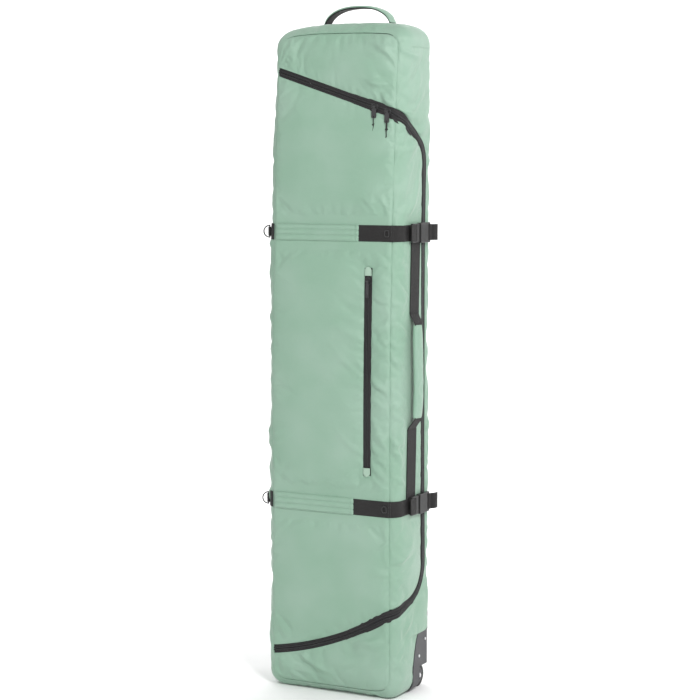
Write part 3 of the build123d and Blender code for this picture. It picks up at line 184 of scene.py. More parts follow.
def add_math(tree, operation, a, b=None):
    """A Math node with each input either a socket or a number."""
    node = tree.nodes.new("ShaderNodeMath")
    node.operation = operation
    for socket, value in zip(node.inputs, (a, b)):
        if value is None:
            continue
        if isinstance(value, (int, float)):
            socket.default_value = value
        else:
            tree.links.new(value, socket)
    return node.outputs[0]


def weave_group():
    """Crossed threads. Thread is the spacing in metres, and Twill turns plain weave into diagonal ribs."""
    inputs = [("Thread", 0.0009), ("Twill", 0.4)]
    tree, start, end = shader_group("weave", inputs, [("Height", "NodeSocketFloat")])
    place = tree.nodes.new("ShaderNodeTexCoord")
    parts = tree.nodes.new("ShaderNodeSeparateXYZ")
    tree.links.new(place.outputs["Object"], parts.inputs[0])
    pace = add_math(tree, "DIVIDE", math.pi, start.outputs["Thread"])
    across = add_math(tree, "ADD", parts.outputs["X"], parts.outputs["Y"])
    skew = add_math(tree, "MULTIPLY", parts.outputs["Y"], 0.37)
    along = add_math(tree, "ADD", parts.outputs["Z"], skew)
    across = add_math(tree, "MULTIPLY", across, pace)
    along = add_math(tree, "MULTIPLY", along, pace)
    plain = add_math(tree, "MULTIPLY", add_math(tree, "SINE", across), add_math(tree, "SINE", along))
    diagonal = add_math(tree, "SINE", add_math(tree, "ADD", across, along))
    diagonal = add_math(tree, "MULTIPLY", diagonal, start.outputs["Twill"])
    height = add_math(tree, "ADD", plain, diagonal)
    tree.links.new(add_math(tree, "MULTIPLY", height, 0.5), end.inputs["Height"])
    return tree


def grain_group():
    """Fine moulded or woven irregularity. Size is the grain's width in metres."""
    tree, start, end = shader_group("grain", [("Size", 0.001), ("Detail", 3.0)],
                                    [("Height", "NodeSocketFloat")])
    place = tree.nodes.new("ShaderNodeTexCoord")
    noise = tree.nodes.new("ShaderNodeTexNoise")
    tree.links.new(place.outputs["Object"], noise.inputs["Vector"])
    tree.links.new(add_math(tree, "DIVIDE", 1.0, start.outputs["Size"]), noise.inputs["Scale"])
    tree.links.new(start.outputs["Detail"], noise.inputs["Detail"])
    tree.links.new(noise.outputs[0], end.inputs["Height"])
    return tree


def tone_group():
    """A base colour that drifts between two tones over broad soft patches."""
    inputs = [("Tone", (0.3, 0.4, 0.3, 1.0)), ("Second Tone", (0.3, 0.4, 0.3, 1.0)), ("Patch", 0.12)]
    tree, start, end = shader_group("tone", inputs, [("Color", "NodeSocketColor")])
    place = tree.nodes.new("ShaderNodeTexCoord")
    noise = tree.nodes.new("ShaderNodeTexNoise")
    noise.inputs["Detail"].default_value = 2.0
    mix = tree.nodes.new("ShaderNodeMix")
    mix.data_type = "RGBA"
    tree.links.new(place.outputs["Object"], noise.inputs["Vector"])
    tree.links.new(add_math(tree, "DIVIDE", 1.0, start.outputs["Patch"]), noise.inputs["Scale"])
    spread = add_math(tree, "MULTIPLY", add_math(tree, "SUBTRACT", noise.outputs[0], 0.35), 3.0)
    tree.links.new(spread, mix.inputs[0])
    tree.links.new(start.outputs["Tone"], mix.inputs[6])
    tree.links.new(start.outputs["Second Tone"], mix.inputs[7])
    tree.links.new(mix.outputs[2], end.inputs["Color"])
    return tree


def wear_group():
    """Lighter edges. How sharp an edge has to be is fixed in the group, and Amount is how much it shows."""
    inputs = [("Amount", 0.5)]
    tree, start, end = shader_group("edge wear", inputs, [("Mask", "NodeSocketFloat")])
    geometry = tree.nodes.new("ShaderNodeNewGeometry")
    sharp = add_math(tree, "SUBTRACT", geometry.outputs["Pointiness"], 0.52)
    sharp = add_math(tree, "MAXIMUM", add_math(tree, "MULTIPLY", sharp, 9.0), 0.0)
    sharp = add_math(tree, "MINIMUM", sharp, 1.0)
    tree.links.new(add_math(tree, "MULTIPLY", sharp, start.outputs["Amount"]), end.inputs["Mask"])
    return tree


WEAVE = weave_group()
GRAIN = grain_group()
TONE = tone_group()
WEAR = wear_group()


def placed(tree, group, **values):
    """A group placed in a material with its own values."""
    node = tree.nodes.new("ShaderNodeGroup")
    node.node_tree = group
    for label, value in values.items():
        node.inputs[label.replace("_", " ").title()].default_value = value
    return node


def new_material(name, tones, roughness, patch=0.12):
    """A material with a drifting base colour. Returns it with its tree and shader."""
    material = bpy.data.materials.new(name)
    material.use_nodes = True
    tree = material.node_tree
    shader = tree.nodes["Principled BSDF"]
    shader.inputs["Roughness"].default_value = roughness
    tone = placed(tree, TONE, tone=(*tones[0], 1.0), second_tone=(*tones[1], 1.0), patch=patch)
    tree.links.new(tone.outputs["Color"], shader.inputs["Base Color"])
    return material, tree, shader


def bump(tree, shader, height, distance, strength=1.0, under=None):
    """Adds relief to a shader, above another relief if one is given."""
    node = tree.nodes.new("ShaderNodeBump")
    node.inputs["Distance"].default_value = distance
    node.inputs["Strength"].default_value = strength
    tree.links.new(height, node.inputs["Height"])
    if under is not None:
        tree.links.new(under, node.inputs["Normal"])
    tree.links.new(node.outputs["Normal"], shader.inputs["Normal"])
    return node.outputs["Normal"]


def cloth_material(name, tones, thread, roughness=0.6, sheen=0.25, twill=0.4, relief=0.00018, crease=0.0):
    """Woven cloth: threads, soft creases below the mesh's scale and a little sheen."""
    material, tree, shader = new_material(name, tones, roughness)
    shader.inputs["Sheen Weight"].default_value = sheen
    shader.inputs["Sheen Roughness"].default_value = 0.4
    under = None
    if crease:
        soft = placed(tree, GRAIN, size=0.022, detail=4.0)
        under = bump(tree, shader, soft.outputs["Height"], crease, 0.6)
    threads = placed(tree, WEAVE, thread=thread, twill=twill)
    bump(tree, shader, threads.outputs["Height"], relief, 0.8, under)
    return material


def moulded_material(name, tones, roughness, grain, wear=0.5, relief=0.00012, metallic=0.0):
    """Moulded plastic, rubber or cast metal: grain, with edges worn lighter."""
    material, tree, shader = new_material(name, tones, roughness, patch=0.04)
    shader.inputs["Metallic"].default_value = metallic
    fine = placed(tree, GRAIN, size=grain, detail=3.0)
    bump(tree, shader, fine.outputs["Height"], relief, 0.8)
    edges = placed(tree, WEAR, amount=wear)
    base = tree.nodes.new("ShaderNodeMix")
    base.data_type = "RGBA"
    tone_out = shader.inputs["Base Color"].links[0].from_socket
    tree.links.new(edges.outputs["Mask"], base.inputs[0])
    tree.links.new(tone_out, base.inputs[6])
    base.inputs[7].default_value = (*[min(1.0, 2.2 * c + 0.03) for c in tones[1]], 1.0)
    tree.links.new(base.outputs[2], shader.inputs["Base Color"])
    return material


GREEN = ((0.235, 0.385, 0.285), (0.275, 0.415, 0.325))
MATERIALS = {
    "green_cloth": cloth_material("green polyester", GREEN, 0.0008, 0.42, 0.12, crease=0.0012),
    "green_pad": cloth_material("green padded cloth", GREEN, 0.0008, 0.46, 0.12, crease=0.0006),
    "garage_cloth": cloth_material("light stitched patch", ((0.33, 0.47, 0.37), (0.37, 0.5, 0.41)), 0.0008),
    "lining": cloth_material("dark lining", ((0.05, 0.052, 0.056), (0.07, 0.07, 0.075)), 0.0006, 0.5, 0.2),
    "black_webbing": cloth_material(
        "ribbed webbing", ((0.008, 0.007, 0.007), (0.014, 0.013, 0.013)), 0.0016, 0.7, 0.02, 0.9, 0.00045
    ),
    "zip_tape": cloth_material("zipper tape", ((0.009, 0.008, 0.009), (0.015, 0.014, 0.015)),
                               0.0011, 0.7, 0.02),
    "green_thread": cloth_material("green thread", ((0.27, 0.43, 0.33), (0.31, 0.46, 0.36)), 0.0004, 0.5),
    "black_thread": cloth_material("black thread", ((0.03, 0.03, 0.03), (0.05, 0.05, 0.05)), 0.0004, 0.5),
    "cord": cloth_material("braided cord", ((0.01, 0.01, 0.01), (0.02, 0.02, 0.02)), 0.0007, 0.7, 0.05, 0.9),
    "print": cloth_material("printed mark", ((0.1, 0.095, 0.11), (0.14, 0.13, 0.15)), 0.0008, 0.55, 0.0),
    "foam": cloth_material("quilted foam", ((0.09, 0.09, 0.095), (0.12, 0.12, 0.125)), 0.0012, 0.7, 0.2),
    "board": moulded_material("base sheet", ((0.06, 0.06, 0.06), (0.08, 0.08, 0.08)), 0.55, 0.0012),
    "zip_coil": moulded_material("nylon coil", ((0.008, 0.008, 0.009), (0.012, 0.012, 0.012)),
                                 0.45, 0.0006, 0.2),
    "black_plastic": moulded_material("black acetal", ((0.008, 0.008, 0.008), (0.013, 0.013, 0.013)),
                                      0.38, 0.0009, 0.35),
    "grey_plastic": moulded_material(
        "grained housing", ((0.03, 0.03, 0.033), (0.042, 0.042, 0.046)), 0.5, 0.0016, 0.35, 0.0003
    ),
    "rubber_trim": moulded_material("corner trim", ((0.018, 0.018, 0.019), (0.028, 0.028, 0.03)),
                                    0.6, 0.0012),
    "dark_metal": moulded_material(
        "blackened metal", ((0.014, 0.014, 0.015), (0.022, 0.022, 0.023)), 0.36, 0.0007, 0.5, 0.00005, 0.25
    ),
    "steel": moulded_material(
        "plated steel", ((0.6, 0.6, 0.62), (0.7, 0.7, 0.72)), 0.28, 0.0008, 0.3, 0.00004, 1.0
    ),
    "tyre": moulded_material("rolling rubber", ((0.014, 0.014, 0.014), (0.03, 0.03, 0.03)),
                             0.7, 0.0011, 0.4, 0.0002),
}

CAD_FINISH = {
    "grey_plastic": ["wheel_housing_left", "wheel_housing_right", "wheel_hub_left", "wheel_hub_right"],
    "rubber_trim": ["housing_trims"],
    "steel": ["housing_screws", "axle_bolts", "axle_nuts"],
    "black_plastic": [
        "buckle_receptacle_upper", "buckle_receptacle_lower", "buckle_plug_upper", "buckle_plug_lower",
        "strap_keepers",
    ],
    "dark_metal": [
        "main_slider_left", "main_slider_right", "pocket_slider", "pull_tab_left", "pull_tab_right",
        "pocket_puller", "d_ring_upper", "d_ring_lower",
    ],
    "tyre": ["wheel_tyre_left", "wheel_tyre_right"],
    "board": ["base_board"],
}
for finish, nodes in CAD_FINISH.items():
    for node in nodes:
        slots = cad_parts[node].data.materials
        slots.clear()
        slots.append(MATERIALS[finish])

# ---- making meshes ----


def new_piece(name, points, faces, finish, body, nodes=(), inner=None, inner_faces=()):
    """A smooth mesh piece that rides on a body. Inner faces take the inner finish."""
    mesh = bpy.data.meshes.new(name)
    places = [tuple(p) for p in np.asarray(points).reshape(-1, 3)]
    mesh.from_pydata(places, [], list(faces) + list(inner_faces))
    mesh.materials.append(MATERIALS[finish])
    if inner:
        mesh.materials.append(MATERIALS[inner])
        mesh.polygons.foreach_set("material_index", [0] * len(faces) + [1] * len(inner_faces))
    mesh.polygons.foreach_set("use_smooth", [True] * len(mesh.polygons))
    mesh.update()
    piece = bpy.data.objects.new(name, mesh)
    bpy.context.scene.collection.objects.link(piece)
    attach(piece, body)
    if nodes:
        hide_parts(*nodes)
    return piece


def grid_faces(rows, cols, wrap=False, offset=0):
    """Quads over a grid of points, optionally closed across."""
    faces = []
    last = cols if wrap else cols - 1
    for i in range(rows - 1):
        for j in range(last):
            k = (j + 1) % cols
            corners = (i * cols + j, i * cols + k, (i + 1) * cols + k, (i + 1) * cols + j)
            faces.append(tuple(c + offset for c in corners))
    return faces


def swept(spine, outward, section, closed=False):
    """Points and faces of a closed section swept along a spine. The section is (across, out) pairs, or one
    such list for each point of the spine."""
    spine = np.asarray(spine, float)
    outward = np.broadcast_to(np.asarray(outward, float), spine.shape)
    if closed:
        along = np.roll(spine, -1, axis=0) - np.roll(spine, 1, axis=0)
    else:
        along = np.gradient(spine, axis=0)
    across = np.cross(along, outward)
    across = across / np.linalg.norm(across, axis=1, keepdims=True)
    section = np.asarray(section, float)
    if section.ndim == 2:
        section = np.broadcast_to(section, (len(spine), *section.shape))
    points = spine[:, None] + across[:, None] * section[..., :1] + outward[:, None] * section[..., 1:]
    rows, cols = points.shape[:2]
    faces = grid_faces(rows, cols, wrap=True)
    if closed:
        first, last = range(cols), range((rows - 1) * cols, rows * cols)
        faces += [(last[j], last[(j + 1) % cols], (j + 1) % cols, j) for j in first]
    else:
        faces.append(tuple(range(cols))[::-1])
        faces.append(tuple(range((rows - 1) * cols, rows * cols)))
    return points.reshape(-1, 3), faces


def joined(parts):
    """Several (points, faces) pairs as one."""
    points, faces, count = [], [], 0
    for part_points, part_faces in parts:
        points.append(part_points)
        faces += [tuple(c + count for c in face) for face in part_faces]
        count += len(part_points)
    return np.concatenate(points), faces


def band_section(width, thick, lift=0.0, ribs=0, rib=0.0):
    """A flat band's section: rounded edges, and ribs along it if they are asked for."""
    edge = min(thick / 2, width / 4)
    count = max(9, 4 * ribs + 1)
    across = np.linspace(-width / 2 + edge, width / 2 - edge, count)
    upper = lift + thick + (rib * np.cos(np.linspace(0, 2 * math.pi * ribs, count)) if ribs else 0 * across)
    top = np.stack([across, upper], axis=1)
    right = [(width / 2, lift + thick / 2)]
    bottom = np.stack([across[::-1], np.full(count, lift)], axis=1)
    left = [(-width / 2, lift + thick / 2)]
    return np.concatenate([top, right, bottom, left])


def round_section(radius, lift=0.0, sides=8):
    """A round section."""
    turn = np.linspace(0, 2 * math.pi, sides, endpoint=False)
    return np.stack([radius * np.cos(turn), lift + radius * np.sin(turn)], axis=1)


def resampled(spine, spacing):
    """The same line with points evenly spaced."""
    spine = np.asarray(spine, float)
    reach = np.concatenate([[0], np.cumsum(np.linalg.norm(np.diff(spine, axis=0), axis=1))])
    count = max(2, int(round(reach[-1] / spacing)) + 1)
    even = np.linspace(0, reach[-1], count)
    return np.stack([np.interp(even, reach, spine[:, i]) for i in range(3)], axis=1)


def stitch_row(spine, outward, pitch=3.4 * MM, length=2.4 * MM, radius=0.38 * MM):
    """A row of stitches lying along a line, as points and faces."""
    places = resampled(spine, pitch)
    source = np.asarray(spine, float)
    tree = kdtree.KDTree(len(source))
    for index, point in enumerate(source):
        tree.insert(point, index)
    tree.balance()
    outward = np.broadcast_to(np.asarray(outward, float), source.shape)
    normals = np.array([outward[tree.find(p)[1]] for p in places])
    along = np.gradient(places, axis=0)
    along /= np.linalg.norm(along, axis=1, keepdims=True)
    parts = []
    for place, direction, normal in zip(places, along, normals):
        rings = np.array([-0.5, -0.3, 0.3, 0.5]) * length
        sizes = np.array([0.25, 1.0, 1.0, 0.25]) * radius
        line = place + rings[:, None] * direction
        turn = np.linspace(0, 2 * math.pi, 6, endpoint=False)
        circle = np.stack([np.cos(turn), np.sin(turn)], axis=1)
        parts.append(swept(line, normal, sizes[:, None, None] * circle))
    return joined(parts)


# ---- the pull cords ----

LEFT_SLIDER_X = 104 * MM
RIGHT_SLIDER_X = 138 * MM
UPPER_LEFT = TOP - 105 * MM
UPPER_RIGHT = TOP - 208 * MM
BAR_HEIGHT = 3.8 * MM
HOLE_Y = -22.2
CORD = 2 * MM
CORD_ROUTES = {
    "left": [
        (1.4, HOLE_Y - 41, -1.0), (-0.8, HOLE_Y - 26, -1.3), (0.1, HOLE_Y - 9, -2.0), (0, HOLE_Y, -2.3),
        (0, HOLE_Y, 2.3), (0.2, HOLE_Y - 9, 2.0), (0.8, HOLE_Y - 26, 0.9), (-1.6, HOLE_Y - 40, 1.7),
    ],
    "right": [
        (-1.9, HOLE_Y - 39, -1.0), (0.7, HOLE_Y - 25, -1.3), (-0.1, HOLE_Y - 9, -2.0), (0, HOLE_Y, -2.3),
        (0, HOLE_Y, 2.3), (0.1, HOLE_Y - 9, 2.0), (-0.7, HOLE_Y - 25, 1.0), (1.5, HOLE_Y - 38, 1.9),
    ],
}
KNOT_DROP = -29.5


def diagonal_z(x):
    """The upper run of the zipper on the front."""
    return UPPER_LEFT + (x + SEAM) * (UPPER_RIGHT - UPPER_LEFT) / (2 * SEAM)


def on_face(x, z, places):
    """Places in millimetres (right, up the face, out) from a point on the leaning front."""
    lean = math.asin(max(z - LEAN_START, 0) / LEAN_RADIUS)
    up = np.array([0, math.sin(lean), math.cos(lean)])
    out = np.array([0, -math.cos(lean), math.sin(lean)])
    origin = np.array([x, float(front_y(np.array(z))), z])
    places = MM * np.asarray(places, float)
    return origin + places[:, :1] * np.array([1.0, 0, 0]) + places[:, 1:2] * up + places[:, 2:] * out


def pull_cord(name, x):
    """A thin cord doubled through the pull tab's hole and tied in a knot."""
    z = diagonal_z(x)
    bar = on_face(x, z, [(0, 0, BAR_HEIGHT / MM)])[0]
    lift = [(a, b, BAR_HEIGHT / MM + c) for a, b, c in CORD_ROUTES[name]]
    route = on_face(x, z, lift)
    curve = bpy.data.curves.new(f"pull_cord_{name}_line", "CURVE")
    curve.dimensions = "3D"
    curve.bevel_depth = CORD / 2
    curve.bevel_resolution = 3
    curve.use_fill_caps = True
    spline = curve.splines.new("NURBS")
    spline.points.add(len(route) - 1)
    for point, place in zip(spline.points, route):
        point.co = (*place, 1)
    spline.order_u = 3
    spline.use_endpoint_u = True
    spline.resolution_u = 12
    curve.materials.append(MATERIALS["cord"])
    cord = bpy.data.objects.new(f"pull_cord_{name}_cord", curve)
    bpy.context.scene.collection.objects.link(cord)
    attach(cord, f"pull_{name}")
    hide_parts(f"pull_cord_{name}")
    turn = np.linspace(0, 2 * math.pi, 60, endpoint=False)
    loops = np.stack([
        np.sin(turn) + 2 * np.sin(2 * turn),
        1.25 * (np.cos(turn) - 2 * np.cos(2 * turn)),
        -1.4 * np.sin(3 * turn),
    ], axis=1)
    centre = HOLE_Y + KNOT_DROP + 9
    places = [(0.85 * a, centre + b, BAR_HEIGHT / MM + 0.1 + c) for a, b, c in loops]
    spine = on_face(x, z, places)
    outward = spine - spine.mean(axis=0)
    points, faces = swept(spine, outward / np.linalg.norm(outward, axis=1, keepdims=True),
                          round_section(CORD / 2), closed=True)
    knot = new_piece(f"pull_knot_{name}", points, faces, "cord", f"pull_{name}")
    return bar


for name, x in (("left", LEFT_SLIDER_X), ("right", RIGHT_SLIDER_X)):
    pull_cord(name, x)

# ---- the zipper's course ----

LOWER_LEFT = 90 * MM
LOWER_MIDDLE = 130 * MM
LOWER_RIGHT = 208 * MM
SIDE_RUN_Y = BACK - 47 * MM
SIDE_UPPER_CORNER = (SIDE_RUN_Y, UPPER_RIGHT - 78 * MM)
SIDE_LOWER_CORNER = (SIDE_RUN_Y, LOWER_RIGHT + 38 * MM)
SIDE_UPPER_BEND = 60 * MM
SIDE_LOWER_BEND = 88 * MM


def arc_centre(a, b, c):
    """The centre and radius of the circle through three points."""
    (ax, ay), (bx, by), (cx, cy) = a, b, c
    d = 2 * (ax * (by - cy) + bx * (cy - ay) + cx * (ay - by))
    squares = [p[0] ** 2 + p[1] ** 2 for p in (a, b, c)]
    ux = (squares[0] * (by - cy) + squares[1] * (cy - ay) + squares[2] * (ay - by)) / d
    uy = (squares[0] * (cx - bx) + squares[1] * (ax - cx) + squares[2] * (bx - ax)) / d
    return ux, uy, math.hypot(ax - ux, ay - uy)


LOWER_ARC = arc_centre((-SEAM, LOWER_LEFT), (0, LOWER_MIDDLE), (SEAM, LOWER_RIGHT))


def lower_z(x):
    """The lower run of the zipper on the front."""
    centre_x, centre_z, radius = LOWER_ARC
    return centre_z - math.copysign(1, centre_z) * np.sqrt(radius**2 - (x - centre_x) ** 2)


def rounded_corner(before, corner, after, radius, count=14):
    """Points of the arc that rounds a corner."""
    before, corner, after = (np.array(p, float) for p in (before, corner, after))
    first = (before - corner) / np.linalg.norm(before - corner)
    second = (after - corner) / np.linalg.norm(after - corner)
    half = math.acos(np.clip(first @ second, -1, 1)) / 2
    middle = (first + second) / np.linalg.norm(first + second)
    centre = corner + middle * radius / math.sin(half)
    start = corner + first * radius / math.tan(half)
    end = corner + second * radius / math.tan(half)
    sweep = np.linspace(0, 1, count)
    angle_start = math.atan2(*(start - centre)[::-1])
    angle_end = math.atan2(*(end - centre)[::-1])
    turn = (angle_end - angle_start + math.pi) % (2 * math.pi) - math.pi
    angles = angle_start + sweep * turn
    return np.stack([centre[0] + radius * np.cos(angles), centre[1] + radius * np.sin(angles)], axis=1)


def seam_y(z):
    """Where the front panel's right seam stands."""
    return front_y(z) + SIDE_RADIUS * (1 - math.cos(SEAM_TURN))


UPPER_SEAM_POINT = (float(seam_y(np.array(UPPER_RIGHT))), UPPER_RIGHT)
LOWER_SEAM_POINT = (float(seam_y(np.array(LOWER_RIGHT))), LOWER_RIGHT)


def side_course():
    """The zipper's course on the side as (y, z), from the upper seam to the lower one."""
    upper = rounded_corner(UPPER_SEAM_POINT, SIDE_UPPER_CORNER, SIDE_LOWER_CORNER, SIDE_UPPER_BEND)
    lower = rounded_corner(SIDE_UPPER_CORNER, SIDE_LOWER_CORNER, LOWER_SEAM_POINT, SIDE_LOWER_BEND)
    return np.concatenate([[UPPER_SEAM_POINT], upper, lower, [LOWER_SEAM_POINT]])


def side_edge(shift):
    """The side course moved by shift towards the back, run on past the seams."""
    course = side_course()
    course = np.concatenate([[2 * course[0] - course[1]], course, [2 * course[-1] - course[-2]]])
    along = np.gradient(course, axis=0)
    along /= np.linalg.norm(along, axis=1, keepdims=True)
    return course + shift * np.stack([-along[:, 1], along[:, 0]], axis=1)


def side_edge_girth(z, shift):
    """How far round the bag the side course's edge is at height z."""
    edge = side_edge(shift)
    order = np.argsort(edge[:, 1])
    y = np.interp(z, edge[order, 1], edge[order, 0], left=-1, right=-1)
    return np.maximum(girth_at_side(y, z), GIRTH_SEAM)


def zipper_line():
    """The whole course as (distance round the bag, height), evenly spaced."""
    upper_x = np.linspace(-SEAM, SEAM - 14 * MM, 50)
    upper = np.stack([upper_x, diagonal_z(upper_x)], axis=1)
    side = side_course()
    side_g = girth_at_side(side[:, 0], side[:, 1])
    side_line = np.stack([side_g, side[:, 1]], axis=1)
    lower_x = np.linspace(SEAM - 14 * MM, -SEAM, 50)
    lower = np.stack([lower_x, lower_z(lower_x)], axis=1)
    line = np.concatenate([upper, side_line[1:-1], lower])
    flat = resampled(np.column_stack([line, np.zeros(len(line))]), 4 * MM)[:, :2]
    for _ in range(12):
        flat[1:-1] = (flat[:-2] + 2 * flat[1:-1] + flat[2:]) / 4
    return flat


ZIPPER = zipper_line()

# ---- how the filled cloth swells and puckers ----

SWELL = 6.0 * MM
SEAM_SINK = 2.6 * MM
SEAM_LEVEL = 1.5 * MM
LOWEST = -1.2 * MM
FLOOR_GAP = 0.3 * MM
SIDE_WEBBING_Y = {"lower": -23 * MM, "upper": 1 * MM}
SIDE_WEBBING_WIDTH = 46 * MM


def webbing_y(z):
    """The middle of the side webbing at height z."""
    slope = (SIDE_WEBBING_Y["upper"] - SIDE_WEBBING_Y["lower"]) / (UPPER_STRAP - LOWER_STRAP)
    return SIDE_WEBBING_Y["lower"] + slope * (z - LOWER_STRAP)


def seam_depth(p):
    """How deep a seam shows at points: in full up the right of the front, less elsewhere."""
    x, y, z = p[..., 0], p[..., 1], p[..., 2]
    side = np.clip(0.5 + x / (0.24), 0.22, 1)
    top = np.clip((z - (TOP - 0.06)) / 0.05, 0, 1) * np.clip((0.1 - x) / 0.1, 0, 1)
    foot = np.clip((0.06 - z) / 0.04, 0, 1) * np.clip((0.135 - x) / 0.03, 0, 1)
    front = side * (1 - 0.6 * top) * (1 - 0.75 * foot)
    return np.where(y > 0, 0.8, front)


def above_floor(p):
    """Keeps points off the floor."""
    p[..., 2] = np.maximum(p[..., 2], FLOOR_GAP)
    return p


def slump(p):
    """Lets the bag's upper corners sink, as soft cloth does."""
    p = np.array(p, float)
    reach = np.clip((np.abs(p[..., 0]) - 45 * MM) / (SIDE - 45 * MM), 0, 1)
    height = np.clip((p[..., 2] - (TOP - 0.11)) / 0.11, 0, 1)
    p[..., 2] -= (13 + 3 * np.sign(-p[..., 0])) * MM * reach**2 * height**1.5
    return p
WRINKLE_SEED = 20
FOLDS = 3.0


def make_creases():
    """Soft folds as (round the bag, height, direction in degrees, half length, half width, rise)."""
    random = np.random.default_rng(WRINKLE_SEED)
    families = [
        # count, g from, g to, z from, z to, degrees, spread, length, width, rise
        (26, 0.108, 0.150, 0.50, 1.07, -28, 16, 34, 6.5, 1.7),
        (16, 0.060, 0.100, 0.58, 0.98, -14, 12, 42, 9.0, 1.1),
        (24, 0.163, 0.200, 0.48, 1.07, -32, 18, 30, 6.0, 1.8),
        (10, 0.166, 0.235, 1.12, 1.33, 42, 16, 46, 11, 2.4),
        (12, 0.166, 0.215, 0.30, 0.44, 24, 20, 30, 8, 1.4),
        (16, 0.100, 0.152, 1.38, 1.54, -38, 20, 30, 7.5, 2.0),
        (10, 0.160, 0.230, 1.36, 1.52, 40, 24, 32, 9, 1.8),
        (8, -0.150, -0.105, 1.485, 1.54, 62, 12, 26, 6, 1.8),
        (9, -0.152, -0.090, 1.41, 1.465, 58, 16, 26, 7, 1.3),
        (10, 0.060, 0.150, 0.05, 0.15, 28, 30, 30, 9, 1.6),
        (9, -0.145, -0.040, 0.035, 0.085, -20, 22, 36, 9, 1.6),
        (10, 0.160, 0.230, 0.06, 0.20, 66, 20, 34, 8, 1.2),
        (7, 0.085, 0.150, 1.125, 1.18, -52, 16, 24, 6, 1.0),
        (9, -0.155, -0.115, 0.50, 1.08, 8, 26, 30, 8, 0.8),
        (14, 0.255, 0.420, 0.25, 1.50, 12, 30, 40, 10, 1.2),
        (34, -0.330, -0.165, 0.10, 1.50, 8, 34, 44, 11, 1.5),
        (30, -0.520, -0.360, 0.10, 1.50, 4, 30, 60, 14, 1.2),
        (14, 0.300, 0.520, 0.20, 1.50, -8, 30, 60, 14, 1.2),
    ]
    rows = []
    for count, g0, g1, z0, z1, angle, spread, length, width, rise in families:
        for _ in range(count):
            rows.append((
                random.uniform(g0, g1), random.uniform(z0, z1), math.radians(random.normal(angle, spread)),
                MM * length * random.uniform(0.6, 1.5), MM * width * random.uniform(0.6, 1.4),
                FOLDS * MM * rise * random.choice([-0.8, 1.0]) * random.uniform(0.5, 1.3),
            ))
    return rows


CREASES = make_creases()


def girth_of(p):
    """Distance round the bag of points near the shell."""
    x, y, z = p[..., 0], p[..., 1], p[..., 2]
    start = front_y(z) + SIDE_RADIUS
    out = np.maximum(np.abs(x) - FLAT, 0)
    corner = np.arctan2(out, np.maximum(start - y, 1e-6))
    rear = np.arctan2(np.maximum(y - (BACK - SIDE_RADIUS), 0), np.maximum(out, 1e-6))
    g = np.minimum(np.abs(x), FLAT) + SIDE_RADIUS * np.where(y < start, corner, math.pi / 2)
    g = g - np.where((np.abs(x) < FLAT) & (y < start), SIDE_RADIUS * corner, 0)
    round_rear = SIDE_RADIUS * np.where(y > BACK - SIDE_RADIUS, rear, 0)
    g = g + np.clip(y, start, BACK - SIDE_RADIUS) - start + round_rear
    behind = (y > BACK - SIDE_RADIUS) & (np.abs(x) < FLAT)
    g = g + np.where(behind, FLAT - np.abs(x), 0)
    return np.where(x < 0, -g, g)


def crease_height(p):
    """How high the folds stand at points."""
    g, z = girth_of(p), p[..., 2]
    total = np.zeros_like(g)
    for cg, cz, angle, length, width, rise in CREASES:
        near = (np.abs(g - cg) < 2.2 * length) & (np.abs(z - cz) < 2.2 * length)
        if not near.any():
            continue
        dg, dz = g[near] - cg, z[near] - cz
        along = dg * math.cos(angle) + dz * math.sin(angle)
        bend = 0.12 * along**2 / length
        off = -dg * math.sin(angle) + dz * math.cos(angle) - bend
        total[near] += rise * np.exp(-((along / length) ** 2) - (off / width) ** 2)
    broad = np.sin(9 * g + 2.1) * np.sin(7 * z + 1.3) + 0.6 * np.sin(17 * g + 5 * z) * np.sin(13 * z - 0.4)
    return total + 0.9 * MM * broad


def strap_press(p):
    """0 where a strap holds the cloth down, rising to 1 away from it."""
    g, z = girth_of(p), p[..., 2]
    press = np.ones_like(z)
    held = (g > -0.165) & (g < 0.42)
    for strap in STRAPS.values():
        away = np.maximum(np.abs(z - strap) - STRAP_WIDTH / 2, 0)
        press = np.where(held, np.minimum(press, 1 - 0.9 * np.exp(-((away / (42 * MM)) ** 2))), press)
    between = (z > LOWER_STRAP) & (z < UPPER_STRAP)
    away = np.maximum(np.abs(p[..., 1] - webbing_y(z)) - SIDE_WEBBING_WIDTH / 2, 0)
    under = between & (p[..., 0] > SIDE - SIDE_RADIUS)
    return np.where(under, np.minimum(press, 1 - np.exp(-((away / (22 * MM)) ** 2))), press)


# ---- sewn panels ----


